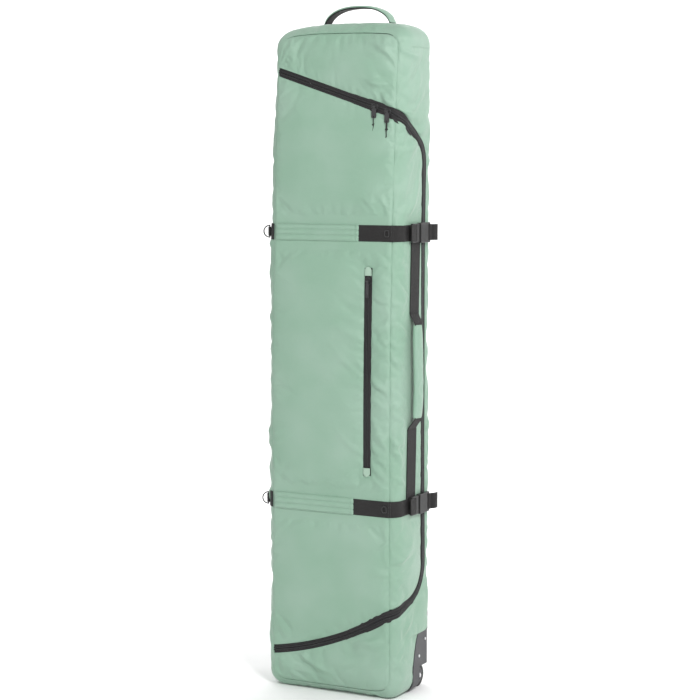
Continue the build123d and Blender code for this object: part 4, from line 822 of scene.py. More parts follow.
def panel(name, points, body, nodes, hidden=None, through=None, swell=SWELL, ease=48 * MM, inner="lining"):
    """A padded panel over a grid of shell points. Its edges sink into the seams, apart from those where
    through(points) says that the cloth runs on. hidden(centres) says which faces are left out."""
    rows, cols = points.shape[:2]
    points = points.reshape(-1, 3)
    normals = shell_normal(points)
    faces = np.array(grid_faces(rows, cols))
    centres = points[faces].mean(axis=1)
    if hidden is not None:
        faces = faces[~hidden(centres)]
    used = np.unique(faces)
    renumber = np.full(len(points), -1)
    renumber[used] = np.arange(len(used))
    faces, points, normals = renumber[faces], points[used], normals[used]
    turned = np.cross(points[faces[:, 1]] - points[faces[:, 0]], points[faces[:, 3]] - points[faces[:, 0]])
    if (np.einsum("ij,ij->i", turned, normals[faces[:, 0]]) < 0).mean() > 0.5:
        faces = faces[:, ::-1]
    ends = {}
    for face in faces.tolist():
        for a, b in zip(face, face[1:] + face[:1]):
            ends[(a, b)] = 1
    rim = [(a, b) for a, b in ends if (b, a) not in ends]
    border = np.unique(np.array(rim))
    seam = border if through is None else border[~through(points[border])]
    tree = kdtree.KDTree(len(seam))
    for index in seam:
        tree.insert(points[index], int(index))
    tree.balance()
    inside = np.array([tree.find(p)[2] for p in points])
    fall = np.exp(-((inside / (4.5 * MM)) ** 2))
    press, depth = strap_press(points), seam_depth(points)
    near = np.exp(-((inside / ease) ** 2))
    level = SEAM_LEVEL * (1 - depth) * np.exp(-((inside / (14 * MM)) ** 2))
    crown = (swell * (1 - near) + level) * press
    folds = crease_height(points) * (1 - np.exp(-((inside / (8 * MM)) ** 2))) * (0.12 + 0.88 * press)
    rise = np.maximum(crown + folds, LOWEST) - SEAM_SINK * depth * fall
    outer = above_floor(slump(points + normals * rise[:, None]))
    lining = above_floor(slump(points - normals * PANEL))
    count = len(points)
    outer_faces = [tuple(f) for f in faces.tolist()]
    inner_faces = [tuple(c + count for c in reversed(f)) for f in outer_faces]
    if through is not None:
        runs = through(points)
        rim = [(a, b) for a, b in rim if not (runs[a] and runs[b])]
    outer_faces += [(b, a, a + count, b + count) for a, b in rim]
    piece = new_piece(name, np.concatenate([outer, lining]), outer_faces, "green_cloth", body,
                      nodes, inner, inner_faces)
    held = np.nonzero((press < 0.35) | (inside < 4 * MM))[0]
    fixed = np.concatenate([border, held, np.arange(count, 2 * count)])
    fill(piece, np.unique(fixed), cap=3.5 * MM)
    sharpen(piece, np.concatenate([border, border + count]))
    piece.modifiers.new("soft", "SUBSURF").levels = 1
    return piece


def sharpen(piece, rim):
    """Keeps a panel's sewn edges where they are when its surface is smoothed."""
    mesh = piece.data
    on_rim = np.zeros(len(mesh.vertices), bool)
    on_rim[rim] = True
    pairs = np.empty(2 * len(mesh.edges), np.int32)
    mesh.edges.foreach_get("vertices", pairs)
    held = on_rim[pairs.reshape(-1, 2)].all(axis=1)
    edges = mesh.attributes.new("crease_edge", "FLOAT", "EDGE")
    edges.data.foreach_set("value", held.astype(np.float32))


def fill(piece, fixed, cap, pressure=4.0, slack=0.02):
    """Blows a padded piece up a little as cloth, with its sewn points held, and keeps the shape it takes."""
    scene = bpy.context.scene
    group = piece.vertex_groups.new(name="sewn")
    group.add([int(i) for i in fixed], 1.0, "REPLACE")
    cloth = piece.modifiers.new("filling", "CLOTH")
    cloth.settings.vertex_group_mass = "sewn"
    cloth.settings.use_pressure = True
    cloth.settings.uniform_pressure_force = pressure
    cloth.settings.shrink_min = -slack
    cloth.settings.quality = 4
    cloth.settings.effector_weights.gravity = 0
    cloth.collision_settings.use_collision = False
    cloth.point_cache.frame_end = 20
    for number in range(1, 21):
        scene.frame_set(number)
    count = len(piece.data.vertices)
    before, after = np.empty(3 * count), np.empty(3 * count)
    piece.data.vertices.foreach_get("co", before)
    filled = piece.evaluated_get(bpy.context.evaluated_depsgraph_get()).to_mesh()
    filled.vertices.foreach_get("co", after)
    move = (after - before).reshape(-1, 3)
    length = np.linalg.norm(move, axis=1, keepdims=True)
    move *= cap * np.tanh(length / cap) / np.maximum(length, 1e-9)
    piece.data.vertices.foreach_set("co", above_floor(before.reshape(-1, 3) + move).ravel())
    piece.modifiers.remove(cloth)
    piece.data.update()
    scene.frame_set(1)


def spread(start, end, step=None):
    """Evenly spaced values with about one step between them."""
    return np.linspace(start, end, max(2, int(round(abs(end - start) / (step or STEP))) + 1))


def columns(xs, *levels):
    """A grid over columns xs, with rows spaced between the levels, each a function of x."""
    heights = [np.array([level(x) if callable(level) else level for x in xs], float) for level in levels]
    parts = []
    for low, high in zip(heights, heights[1:]):
        count = max(2, int(round(np.max(high - low) / STEP)) + 1)
        share = np.linspace(0, 1, count)[:, None]
        rows = low + (high - low) * share
        parts.append(rows if not parts else rows[1:])
    z = np.concatenate(parts)
    return np.broadcast_to(np.asarray(xs), z.shape), z


def outline_end(x, sign):
    """The seam outline's lower (-1) or upper (1) edge at x."""
    beyond = np.clip(np.abs(x) - (SEAM - SEAM_RADIUS), 0, SEAM_RADIUS)
    drop = SEAM_RADIUS - np.sqrt(SEAM_RADIUS**2 - beyond**2)
    return TOP - SEAM_INSET - drop if sign > 0 else SEAM_INSET + drop


def eased(start, end):
    """Columns that crowd together near both ends, where the outline turns."""
    corner = 40 * MM
    turn = np.sin(np.linspace(0, math.pi / 2, max(5, int(corner / STEP * 1.4))))
    left = start + corner * (1 - turn[::-1])
    right = end - corner * (1 - turn)
    return np.concatenate([left, spread(start + corner, end - corner)[1:-1], right])


POCKET_X = sum(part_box("pocket_tape")[i].x for i in (0, 1)) / 2
POCKET_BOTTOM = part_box("pocket_tape")[0].z
POCKET_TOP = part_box("pocket_tape")[1].z
POCKET_HALF = 8 * MM


def front_panels():
    """The lid's front, and the fixed panels above and below it."""
    edge = 0.4 * MM
    pieces = [spread(-SEAM + edge, POCKET_X - POCKET_HALF),
              spread(POCKET_X - POCKET_HALF, POCKET_X + POCKET_HALF)]
    xs = np.concatenate([pieces[0], pieces[1][1:], spread(POCKET_X + POCKET_HALF, GIRTH_SEAM)[1:]])
    cut = ZIP_HALF / math.cos(math.atan(0.33))

    def pocket_hole(centres):
        inside_x = np.abs(centres[:, 0] - POCKET_X) < POCKET_HALF
        return inside_x & (centres[:, 2] > POCKET_BOTTOM) & (centres[:, 2] < POCKET_TOP)

    g, z = columns(
        xs, lambda x: lower_z(min(x, SEAM)) + cut, POCKET_BOTTOM, POCKET_TOP, lambda x: diagonal_z(x) - cut
    )
    panel("lid_front_cloth", girth_point(g, z), "lid", ["lid_front_panel"], hidden=pocket_hole)
    wide = eased(-SEAM, SEAM)
    g, z = columns(wide, lambda x: diagonal_z(x) + cut, lambda x: outline_end(x, 1))
    panel("front_top_cloth", onto_shell(front_place(g, z)), "bag_body", ["front_top_panel"])
    g, z = columns(wide, lambda x: outline_end(x, -1), lambda x: lower_z(x) - cut)
    panel("front_bottom_cloth", onto_shell(front_place(g, z)), "bag_body", ["front_bottom_panel"])


def front_place(x, z):
    """Places on the front by x, run straight at the sides' rounding."""
    y = front_y(z) + SIDE_RADIUS - np.sqrt(SIDE_RADIUS**2 - np.clip(np.abs(x) - FLAT, 0, None) ** 2)
    return np.stack([x, y, z], axis=-1)


def across_rows(zs, start, end, sign=1):
    """A grid with rows at heights zs, each from one distance round the bag to another."""
    low, high = start(zs), end(zs)
    count = max(2, int(round(np.max(high - low) / STEP)) + 1)
    share = np.linspace(0, 1, count)
    g = low[:, None] + (high - low)[:, None] * share
    z = np.broadcast_to(zs[:, None], g.shape)
    return onto_shell(girth_point(sign * g, z))


HOUSING_BASE_Y = BACK - 97 * MM
HOUSING_HEAD_Y = BACK - 71 * MM
HOUSING_STRAIGHT = HOUSING_TOP / 4


def housing_edge(z):
    """How far round the bag the housing's front edge is at height z."""
    middle = (HOUSING_BASE_Y + (HOUSING_HEAD_Y - HOUSING_BASE_Y) / 4, (HOUSING_STRAIGHT + HOUSING_TOP) / 2)
    foot, head = (HOUSING_BASE_Y, HOUSING_STRAIGHT), (HOUSING_HEAD_Y, HOUSING_TOP)
    centre_y, centre_z, radius = arc_centre(foot, middle, head)
    bow = centre_y - math.copysign(1, centre_y - middle[0]) * np.sqrt(
        np.clip(radius**2 - (z - centre_z) ** 2, 0, None)
    )
    return girth_at_side(np.where(z < HOUSING_STRAIGHT, HOUSING_BASE_Y, bow), z)


def runs_on(p):
    """Edges where one panel carries on into the next with no seam."""
    levels = (END_GUSSET, TOP - END_GUSSET, HOUSING_TOP)
    return np.min([np.abs(p[:, 2] - level) for level in levels], axis=0) < 1 * MM


def side_panels():
    """The lid's side and the gussets."""
    reach = ZIP_HALF * 1.02
    upper_tip = UPPER_RIGHT - reach * 1.2
    lower_tip = LOWER_RIGHT + reach * 1.2
    seam = lambda z: np.full_like(z, GIRTH_SEAM)
    points = across_rows(spread(lower_tip, upper_tip), seam, lambda z: side_edge_girth(z, -reach) + 1e-6)
    panel("lid_side_cloth", points, "lid", ["lid_side_panel"], swell=0.8 * SWELL)
    foot = spread(END_GUSSET, HOUSING_TOP)
    body = spread(HOUSING_TOP, TOP - END_GUSSET)
    start = lambda z: side_edge_girth(z, reach)
    panel("right_gusset_cloth", across_rows(body, start, girth_rear_seam), "bag_body", ["right_rear_gusset"],
          through=runs_on, swell=0.7 * SWELL)
    panel("right_foot_cloth", across_rows(foot, start, housing_edge), "bag_body", [], through=runs_on,
          swell=0.7 * SWELL)
    panel("left_gusset_cloth", across_rows(body, seam, girth_rear_seam, -1), "bag_body", ["left_gusset"],
          through=runs_on, swell=0.8 * SWELL)
    panel("left_foot_cloth", across_rows(foot, seam, housing_edge, -1), "bag_body", [], through=runs_on,
          swell=0.7 * SWELL)


def back_cloth():
    """The back, cut round the wheel housings."""
    middle = spread(-HOUSING_INNER, HOUSING_INNER)
    xs = np.concatenate([
        spread(-SEAM, -HOUSING_INNER, 5 * MM)[:-1], middle, spread(HOUSING_INNER, SEAM, 5 * MM)[1:],
    ])
    x, z = columns(xs, lambda x: min(outline_end(x, -1), HOUSING_TOP - 1 * MM), HOUSING_TOP,
                   lambda x: outline_end(x, 1))

    def in_housing(centres):
        return (np.abs(centres[:, 0]) > HOUSING_INNER) & (centres[:, 2] < HOUSING_TOP)

    points = np.stack([x, np.full_like(z, BACK), z], axis=-1)
    panel("back_cloth", onto_shell(points), "bag_body", ["back_panel"], hidden=in_housing, swell=0.9 * SWELL)


def end_gusset(name, node, sign):
    """The gusset round the top (1) or the base (-1) of the bag."""
    inner = SEAM - SEAM_RADIUS
    corner = np.linspace(0, math.pi / 2, max(6, int(QUARTER / STEP)))
    level = TOP - END_GUSSET if sign > 0 else END_GUSSET
    far = TOP - SEAM_INSET if sign > 0 else SEAM_INSET
    hub = far - sign * SEAM_RADIUS
    straight = spread(level, hub)[:-1] if abs(level - hub) > 1 * MM else np.array([level])
    left = [(-SEAM, z, -1.0, 0.0) for z in straight]
    left += [(-inner - SEAM_RADIUS * math.cos(a), hub + sign * SEAM_RADIUS * math.sin(a), -math.cos(a),
              sign * math.sin(a)) for a in corner]
    flat = [(x, far, 0.0, float(sign)) for x in spread(-inner, inner)[1:-1]]
    right = [(-x, z, -nx, nz) for x, z, nx, nz in left[::-1]]
    loop = np.array(left + flat + right)
    share = (1 - np.cos(np.linspace(0, math.pi, max(24, int(0.2 / STEP))))) / 2
    bulge = SEAM_INSET * (1 - np.abs(2 * share - 1) ** 6) ** 0.5
    x = loop[:, 0, None] + loop[:, 2, None] * bulge
    z = loop[:, 1, None] + loop[:, 3, None] * bulge
    front = onto_shell(front_place(loop[:, 0], loop[:, 1]))[:, 1]
    back = onto_shell(np.stack([loop[:, 0], np.full(len(loop), BACK), loop[:, 1]], axis=-1))[:, 1]
    y = front[:, None] + (back - front)[:, None] * share
    points = onto_shell(np.stack([x, y, z], axis=-1))

    def in_housing(centres):
        x, y, z = centres.T
        return (np.abs(x) > HOUSING_INNER) & (y > HOUSING_BASE_Y) & (z < 0.1)

    hidden = in_housing if sign < 0 else None
    if sign < 0:
        caught = (np.abs(points[..., 0]) > HOUSING_INNER - STEP) & (points[..., 1] > HOUSING_BASE_Y - STEP)
        near_x = caught & (np.abs(np.abs(points[..., 0]) - HOUSING_INNER) < STEP / 2)
        points[..., 0] = np.where(near_x, np.sign(points[..., 0]) * HOUSING_INNER, points[..., 0])
        near_y = caught & (np.abs(points[..., 1] - HOUSING_BASE_Y) < STEP)
        points[..., 1] = np.where(near_y, HOUSING_BASE_Y, points[..., 1])
    swell, ease = (0.7 * SWELL, 48 * MM) if sign > 0 else (0.3 * MM, 12 * MM)
    panel(name, points, "bag_body", [node], hidden=hidden, through=runs_on, swell=swell, ease=ease)


front_panels()
side_panels()
back_cloth()
end_gusset("top_gusset_cloth", "top_gusset", 1)
end_gusset("bottom_gusset_cloth", "bottom_gusset", -1)

# ---- the main zipper ----

COIL_PITCH = 2.2 * MM


def zipper_spine(step):
    """The zipper's course on the shell, with its outward directions."""
    flat = resampled(np.column_stack([ZIPPER, np.zeros(len(ZIPPER))]), step)[:, :2]
    line = girth_point(flat[:, 0], flat[:, 1])
    return line, shell_normal(line)


def main_zipper():
    """Each half's tape and its coil, on the lid and on the body."""
    line, outward = zipper_spine(5 * MM)
    fine, fine_out = zipper_spine(COIL_PITCH / (4))
    beat = np.arange(len(fine)) % 4
    for half, sign, body in (("body", -1, "bag_body"), ("lid", 1, "lid")):
        width = ZIP_HALF + 3 * MM
        flat = band_section(width, 1.3 * MM, -2.6 * MM, ribs=5, rib=0.12 * MM)
        flat[:, 0] += sign * (width / 2 + 0.35 * MM)
        points, faces = swept(line, outward, flat)
        new_piece(f"zipper_tape_{half}_cloth", points, faces, "zip_tape", body,
                  [f"zipper_tape_{half}"])
        rib = band_section(4.2 * MM, 1.7 * MM, -1.4 * MM)
        rib = np.broadcast_to(rib, (len(fine), *rib.shape)).copy()
        rib[..., 0] += sign * 2.35 * MM
        high = rib[..., 1] > -0.6 * MM
        rib[..., 1] -= np.where(high, np.choose(beat, [0.0, 0.25, 0.7, 0.25])[:, None] * MM, 0)
        points, faces = swept(fine, fine_out, rib)
        new_piece(f"zipper_coil_{half}_teeth", points, faces, "zip_coil", body,
                  [f"zipper_coil_{half}"])


def pocket_zipper():
    """The pocket zipper's tape, coil and the stitched patches over its ends."""
    z = spread(POCKET_TOP, POCKET_BOTTOM, 5 * MM)
    line = girth_point(POCKET_X, z)
    outward = shell_normal(line)
    parts = []
    for sign in (-1, 1):
        flat = band_section(POCKET_HALF + 2 * MM, 1.3 * MM, -2.4 * MM, ribs=4, rib=0.12 * MM)
        flat[:, 0] += sign * (POCKET_HALF / 2 + 1.2 * MM)
        parts.append(swept(line, outward, flat))
    points, faces = joined(parts)
    new_piece("pocket_tape_cloth", points, faces, "zip_tape", "lid", ["pocket_tape"])
    fine = girth_point(POCKET_X, spread(POCKET_TOP, POCKET_BOTTOM, COIL_PITCH / (4)))
    beat = np.arange(len(fine)) % 4
    parts = []
    for sign in (-1, 1):
        rib = band_section(3 * MM, 1.5 * MM, -1.4 * MM)
        rib = np.broadcast_to(rib, (len(fine), *rib.shape)).copy()
        rib[..., 0] += sign * 1.7 * MM
        high = rib[..., 1] > -0.6 * MM
        rib[..., 1] -= np.where(high, np.choose(beat, [0.0, 0.25, 0.6, 0.25])[:, None] * MM, 0)
        parts.append(swept(fine, shell_normal(fine), rib))
    points, faces = joined(parts)
    new_piece("pocket_coil_teeth", points, faces, "zip_coil", "lid", ["pocket_coil"])
    patches, rows = [], []
    for end, inward in ((POCKET_TOP, -1), (POCKET_BOTTOM, 1)):
        share = np.linspace(0, 1, 12)
        heights = end - inward * 3 * MM + inward * share * 21 * MM
        half = (4.5 + 4.5 * np.clip(share * 3, 0, 1)) * MM * np.sqrt(np.clip(share * 8 + 0.15, 0, 1))
        spine = girth_point(POCKET_X, heights)
        section = np.array([[(t * h, (1.0 + 0.5 * (1 - t * t)) * MM) for t in np.linspace(-1, 1, 9)]
                            + [(h, 0.1 * MM), (-h, 0.1 * MM)] for h in half])
        patches.append(swept(spine, shell_normal(spine), section))
        for side in (-1, 1):
            edge = girth_point(POCKET_X + side * (half - 1.6 * MM), heights)
            lifted = edge + shell_normal(edge) * 1.35 * MM
            rows.append(stitch_row(lifted, shell_normal(edge), 2.6 * MM, 1.8 * MM, 0.3 * MM))
    points, faces = joined(patches)
    new_piece("pocket_garage_patches", points, faces, "garage_cloth", "lid",
              ["pocket_garages"])
    points, faces = joined(rows)
    new_piece("pocket_garage_stitching", points, faces, "green_thread", "lid")


main_zipper()
pocket_zipper()

# ---- straps and sleeves ----

SLEEVE_WIDTH = 40 * MM
SLEEVES = {level: tuple(end.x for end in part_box(f"strap_sleeve_{level}")) for level in STRAPS}
WEBBING = 1.9 * MM


def girth_band(z, start, end, step=4 * MM):
    """A level line round the bag with its outward directions."""
    line = girth_point(spread(start, end, step), z)
    return line, shell_normal(line)


def sleeve(level):
    """A padded sleeve round the strap, sewn in three channels along it and boxed off at its right end."""
    start, end = SLEEVES[level]
    line, outward = girth_band(STRAPS[level], start, end, 3 * MM)
    across = np.linspace(-1, 1, 33)
    lobes = np.abs(np.sin(1.5 * math.pi * (across + 1))) ** 0.7
    crown = (1.6 + 1.2 * (1 - across**2) + 3.4 * lobes) * MM
    crown[0] = crown[-1] = 1.2 * MM
    reach = np.arange(len(line)) * 3 * MM
    length = reach[-1]
    ends = 1 - 0.55 * np.exp(-((length - reach) / (2.5 * MM)) ** 2) - 0.4 * np.exp(-((reach / (6 * MM)) ** 2))
    box = 1 - 0.35 * np.exp(-((reach - length + 9 * MM) / (1.8 * MM)) ** 2)
    random = np.random.default_rng(4 + len(level))
    ripple = 1 + 0.06 * np.convolve(random.normal(size=len(line) + 8), np.ones(9) / 3, "valid")
    top = crown[None] * (ends * box * ripple)[:, None]
    width = np.broadcast_to(across * SLEEVE_WIDTH / 2, top.shape)
    upper = np.stack([width, top], axis=-1)
    low = np.full((len(line), 1), 0.1 * MM)
    right = np.stack([width[:, -1:], low], axis=-1)
    left = np.stack([width[:, :1], low], axis=-1)
    points, faces = swept(line, outward, np.concatenate([upper, right, left], axis=1))
    piece = new_piece(f"strap_sleeve_{level}_pad", points, faces, "green_pad", "lid",
                      [f"strap_sleeve_{level}"])
    rows = []
    for share in (-1 / 3, 1 / 3, -0.93, 0.93):
        lift = (2.8 if abs(share) < 0.5 else 3.4) * MM
        row = line + outward * lift + np.array([0, 0, share * SLEEVE_WIDTH / 2])
        rows.append(stitch_row(row[2:-2], outward[2:-2]))
    height = np.linspace(-0.9, 0.9, 12)[:, None] * SLEEVE_WIDTH / 2
    for index in (-2, -4):
        lobe = np.interp(np.linspace(-0.9, 0.9, 12), across, top[index])[:, None]
        lift = outward[index] * (lobe + 0.2 * MM)
        rows.append(stitch_row(line[index] + lift + height * np.array([0, 0, 1.0]),
                               outward[index]))
    points, faces = joined(rows)
    new_piece(f"strap_sleeve_{level}_stitching", points, faces, "green_thread", "lid")


def front_strap(level):
    """Webbing from the sleeve round the right corner to the buckle, lying in a shallow hollow."""
    z = STRAPS[level]
    end_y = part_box(f"front_strap_{level}")[1].y
    start = SLEEVES[level][1] - 4 * MM
    end = float(girth_at_side(np.array(end_y), np.array(z)))
    line, outward = girth_band(z, start, end)
    points, faces = swept(line, outward, band_section(STRAP_WIDTH, WEBBING, 0.1 * MM, ribs=9, rib=0.15 * MM))
    new_piece(f"front_strap_{level}_webbing", points, faces, "black_webbing", "lid",
              [f"front_strap_{level}"])
    rows = []
    corner = girth_point(np.array(GIRTH_SEAM - 3 * MM), np.array(z))
    for shift in (-1.8 * MM, 1.8 * MM):
        line = girth_point(np.full(12, GIRTH_SEAM + shift), z + np.linspace(-0.46, 0.46, 12) * STRAP_WIDTH)
        normal = shell_normal(line)
        rows.append(stitch_row(line + normal * (WEBBING + 0.2 * MM), normal, 3 * MM))
    points, faces = joined(rows)
    new_piece(f"front_strap_{level}_stitching", points, faces, "black_thread", "lid")
    return corner


def flat_path(points, z, width, thick, side=1):
    """Webbing on edge along a path seen from above, with its outward side to the right (1) or left (-1)."""
    path = resampled(np.column_stack([points, np.full(len(points), z)]), 1.2 * MM)
    for _ in range(4):
        path[1:-1] = (path[:-2] + 2 * path[1:-1] + path[2:]) / 4
    along = np.gradient(path, axis=0)
    along /= np.linalg.norm(along, axis=1, keepdims=True)
    outward = side * np.stack([along[:, 1], -along[:, 0], 0 * along[:, 0]], axis=1)
    return swept(path, outward, band_section(width, thick, -thick / 2, ribs=9, rib=0.12 * MM))


PLUG_OUT = SIDE + 4.5 * MM
PLUG_DEEP = 6 * MM


def strap_loop(level):
    """The webbing round the plug's bar, with its end lying back over it."""
    z = STRAPS[level]
    low, high = PLUG_OUT - 1.2 * MM, PLUG_OUT + PLUG_DEEP + 1.2 * MM
    bar = (-23.4 * MM, -14.6 * MM)
    path = [(low, -33 * MM), (low, -22 * MM), (low, bar[1])]
    path += [(high, bar[1]), (high, -22 * MM), (high + 0.3 * MM, -42 * MM)]
    points, faces = flat_path(path, z, STRAP_WIDTH, 1.5 * MM)
    new_piece(f"strap_loop_{level}_webbing", points, faces, "black_webbing", f"plug_{level}",
              [f"strap_loop_{level}"])


REAR_TAILS = {
    "upper": [(187.2, 63), (191, 66), (194, 72), (195.5, 78)],
    "lower": [(187.2, 63), (191.5, 67), (195, 75), (194, 86)],
}


def rear_straps():
    """Webbing from the back round the corner, through each receptacle and over its bar."""
    parts = []
    for level, z in STRAPS.items():
        rear = girth_rear_seam(np.array(z)) + 0.097 + SIDE_RADIUS * SEAM_TURN
        run = girth_point(np.linspace(float(rear), float(girth_at_side(np.array(0.066), np.array(z))), 40), z)
        lifted = (run + shell_normal(run) * 1.2 * MM)[:, :2]
        bar = np.array([(SIDE + 2.2 * MM, 58 * MM), (SIDE + 3.4 * MM, 53 * MM), (SIDE + 7 * MM, 51.6 * MM),
                        (SIDE + 11.4 * MM, 53.5 * MM), (SIDE + 12 * MM, 58 * MM)])
        tail = MM * np.array(REAR_TAILS[level], float)
        parts.append(flat_path(np.concatenate([lifted, bar, tail]), z, STRAP_WIDTH, 1.6 * MM, -1))
    points, faces = joined(parts)
    new_piece("rear_strap_webbing", points, faces, "black_webbing", "bag_body",
              ["rear_straps"])


def ring_tabs():
    """Folded webbing tabs sewn into the left corner, each round its ring's bar."""
    parts, rows = [], []
    for level, z in STRAPS.items():
        line, outward = girth_band(z, -GIRTH_SEAM - 0.4 * MM, -0.205)
        section = band_section(STRAP_WIDTH, WEBBING, 0.1 * MM, ribs=9, rib=0.15 * MM)
        parts.append(swept(line, outward, section))
        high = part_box(f"d_ring_{level}")[1]
        bar = np.array([high.x - 1.6 * MM, high.y - 1.6 * MM])
        turn = np.linspace(0, 2 * math.pi, 20, endpoint=False)
        rim = np.stack([bar[0] + 2.7 * MM * np.cos(turn), bar[1] + 2.7 * MM * np.sin(turn)], axis=1)
        loop = np.column_stack([rim, np.full(len(rim), z)])
        away = loop - np.array([*bar, z])
        away /= np.linalg.norm(away, axis=1, keepdims=True)
        parts.append(swept(loop, away, band_section(22 * MM, 1.6 * MM, -0.8 * MM), closed=True))
        for shift in (3, 6, 12, 15):
            g = np.full(12, -GIRTH_SEAM - shift * MM)
            seam = girth_point(g, z + np.linspace(-0.45, 0.45, 12) * STRAP_WIDTH)
            normal = shell_normal(seam)
            rows.append(stitch_row(seam + normal * (WEBBING + 0.2 * MM), normal, 3 * MM))
    points, faces = joined(parts)
    new_piece("ring_tab_webbing", points, faces, "black_webbing", "bag_body", ["ring_tabs"])
    points, faces = joined(rows)
    new_piece("ring_tab_stitching", points, faces, "black_thread", "bag_body")


for level in STRAPS:
    sleeve(level)
    front_strap(level)
    strap_loop(level)
rear_straps()
ring_tabs()

# ---- the haul handle on the side ----

GRIP_LOW, GRIP_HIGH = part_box("haul_grip")
GRIP_Y = (GRIP_LOW.y + GRIP_HIGH.y) / 2
GRIP_X = (GRIP_LOW.x + GRIP_HIGH.x) / 2
RAMP_LOW, RAMP_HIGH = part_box("haul_ramps")


def side_webbing():
    """Two runs of webbing that slant up the side, one from each strap to the handle."""
    parts, rows = [], []
    outward = np.array([1.0, 0, 0])
    for start, end in ((LOWER_STRAP + 17 * MM, RAMP_LOW.z), (RAMP_HIGH.z, UPPER_STRAP - 17 * MM)):
        z = spread(start, end, 5 * MM)
        line = np.stack([np.full(len(z), SIDE + 0.4 * MM), webbing_y(z), z], axis=1)
        section = band_section(SIDE_WEBBING_WIDTH, WEBBING, 0.2 * MM, ribs=11, rib=0.15 * MM)
        parts.append(swept(line, outward, section))
        for edge in (-0.44, 0.44):
            row = line + np.array([WEBBING + 0.45 * MM, edge * SIDE_WEBBING_WIDTH, 0])
            rows.append(stitch_row(row, outward))
    points, faces = joined(parts)
    new_piece("side_webbing_runs", points, faces, "black_webbing", "lid", ["side_webbing"])
    points, faces = joined(rows)
    new_piece("side_webbing_stitching", points, faces, "black_thread", "lid")


def haul_ramps():
    """The webbing that leaves the side and runs into the handle's sleeve."""
    parts = []
    for base, tip in ((RAMP_LOW.z - 3 * MM, GRIP_LOW.z + 2 * MM),
                      (RAMP_HIGH.z + 3 * MM, GRIP_HIGH.z - 2 * MM)):
        share = np.linspace(0, 1, 16)
        lift = share * share * (3 - 2 * share)
        z = base + (tip - base) * share
        y = webbing_y(base) * (1 - lift) + GRIP_Y * lift
        x = SIDE + 1 * MM + (GRIP_X - SIDE - 1 * MM) * lift
        line = np.stack([x, y, z], axis=1)
        along = np.gradient(line, axis=0)
        outward = np.cross(along, [0, 1.0, 0]) * (1 if base < tip else -1)
        outward = -outward / np.linalg.norm(outward, axis=1, keepdims=True)
        if outward[0, 0] < 0:
            outward = -outward
        width = np.interp(share, [0, 1], [SIDE_WEBBING_WIDTH, 36 * MM])
        section = np.array([band_section(w, WEBBING, -WEBBING / 2, ribs=9, rib=0.15 * MM) for w in width])
        parts.append(swept(line, outward, section))
    points, faces = joined(parts)
    new_piece("haul_ramp_webbing", points, faces, "black_webbing", "lid", ["haul_ramps"])


def haul_grip():
    """The padded sleeve in the hand: a fold of cloth round foam, sewn along its back edge."""
    length = GRIP_HIGH.z - GRIP_LOW.z
    share = np.linspace(0, 1, 70)
    z = GRIP_LOW.z + length * share
    bow = np.sin(math.pi * share)
    x = GRIP_X - 2.5 * MM + 2.5 * MM * bow
    y = GRIP_Y + 1.5 * MM * np.sin(2 * math.pi * share)
    line = np.stack([x, y, z], axis=1)
    turn = np.linspace(0, 2 * math.pi, 40, endpoint=False)
    fullness = 0.62 + 0.38 * np.clip(bow * 2.2, 0, 1) ** 0.7
    random = np.random.default_rng(11)
    ripple = 0.05 * np.convolve(random.normal(size=len(share) + 6), np.ones(7) / 2.6, "valid")
    sections = []
    for full, wave in zip(fullness, ripple):
        half_wide = 19 * MM * (0.93 + 0.07 * full)
        half_deep = 7.6 * MM * full * (1 + wave)
        across = half_wide * np.sign(np.cos(turn)) * np.abs(np.cos(turn)) ** 0.75
        out = half_deep * np.sign(np.sin(turn)) * np.abs(np.sin(turn)) ** 0.8
        out = out + 0.5 * MM * np.sin(5 * turn + 30 * wave)
        sections.append(np.stack([across, out], axis=1))
    points, faces = swept(line, np.array([1.0, 0, 0]), np.array(sections))
    grip = new_piece("haul_grip_pad", points, faces, "green_pad", "haul_handle", ["haul_grip"])
    rows = []
    for edge in (-0.82, 0.82):
        half = np.array([19 * MM * (0.93 + 0.07 * f) for f in fullness])
        deep = np.array([7.6 * MM * f * (1 - 0.82**2) ** 0.45 for f in fullness])
        row = line + np.stack([deep, edge * half, 0 * deep], axis=1)
        rows.append(stitch_row(row[2:-2], np.array([1.0, 0, 0])))
    points, faces = joined(rows)
    new_piece("haul_grip_stitching", points, faces, "green_thread", "haul_handle")


side_webbing()
haul_ramps()
haul_grip()

# ---- the top handle ----

HANDLE_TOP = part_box("top_handle_webbing")[1].z - 1.5 * MM
HANDLE_Y = (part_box("top_handle_webbing")[0].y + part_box("top_handle_webbing")[1].y) / 2
HANDLE_HALF = 90 * MM
HANDLE_FOOT = TOP - 12 * MM
HANDLE_WIDTH = 32 * MM


def handle_arch(count):
    """The handle's arch, left to right, with its outward directions."""
    turn = np.linspace(math.pi, 0, count)
    fullness = 2 / 2.35
    x = HANDLE_HALF * np.sign(np.cos(turn)) * np.abs(np.cos(turn)) ** fullness
    z = HANDLE_FOOT + (HANDLE_TOP - HANDLE_FOOT) * np.abs(np.sin(turn)) ** fullness
    line = resampled(np.stack([x, np.full(count, HANDLE_Y), z], axis=1), 2.5 * MM)
    along = np.gradient(line, axis=0)
    outward = np.cross([0, 1.0, 0], along)
    outward /= np.linalg.norm(outward, axis=1, keepdims=True)
    if outward[len(outward) // 2, 2] < 0:
        outward = -outward
    return line, outward


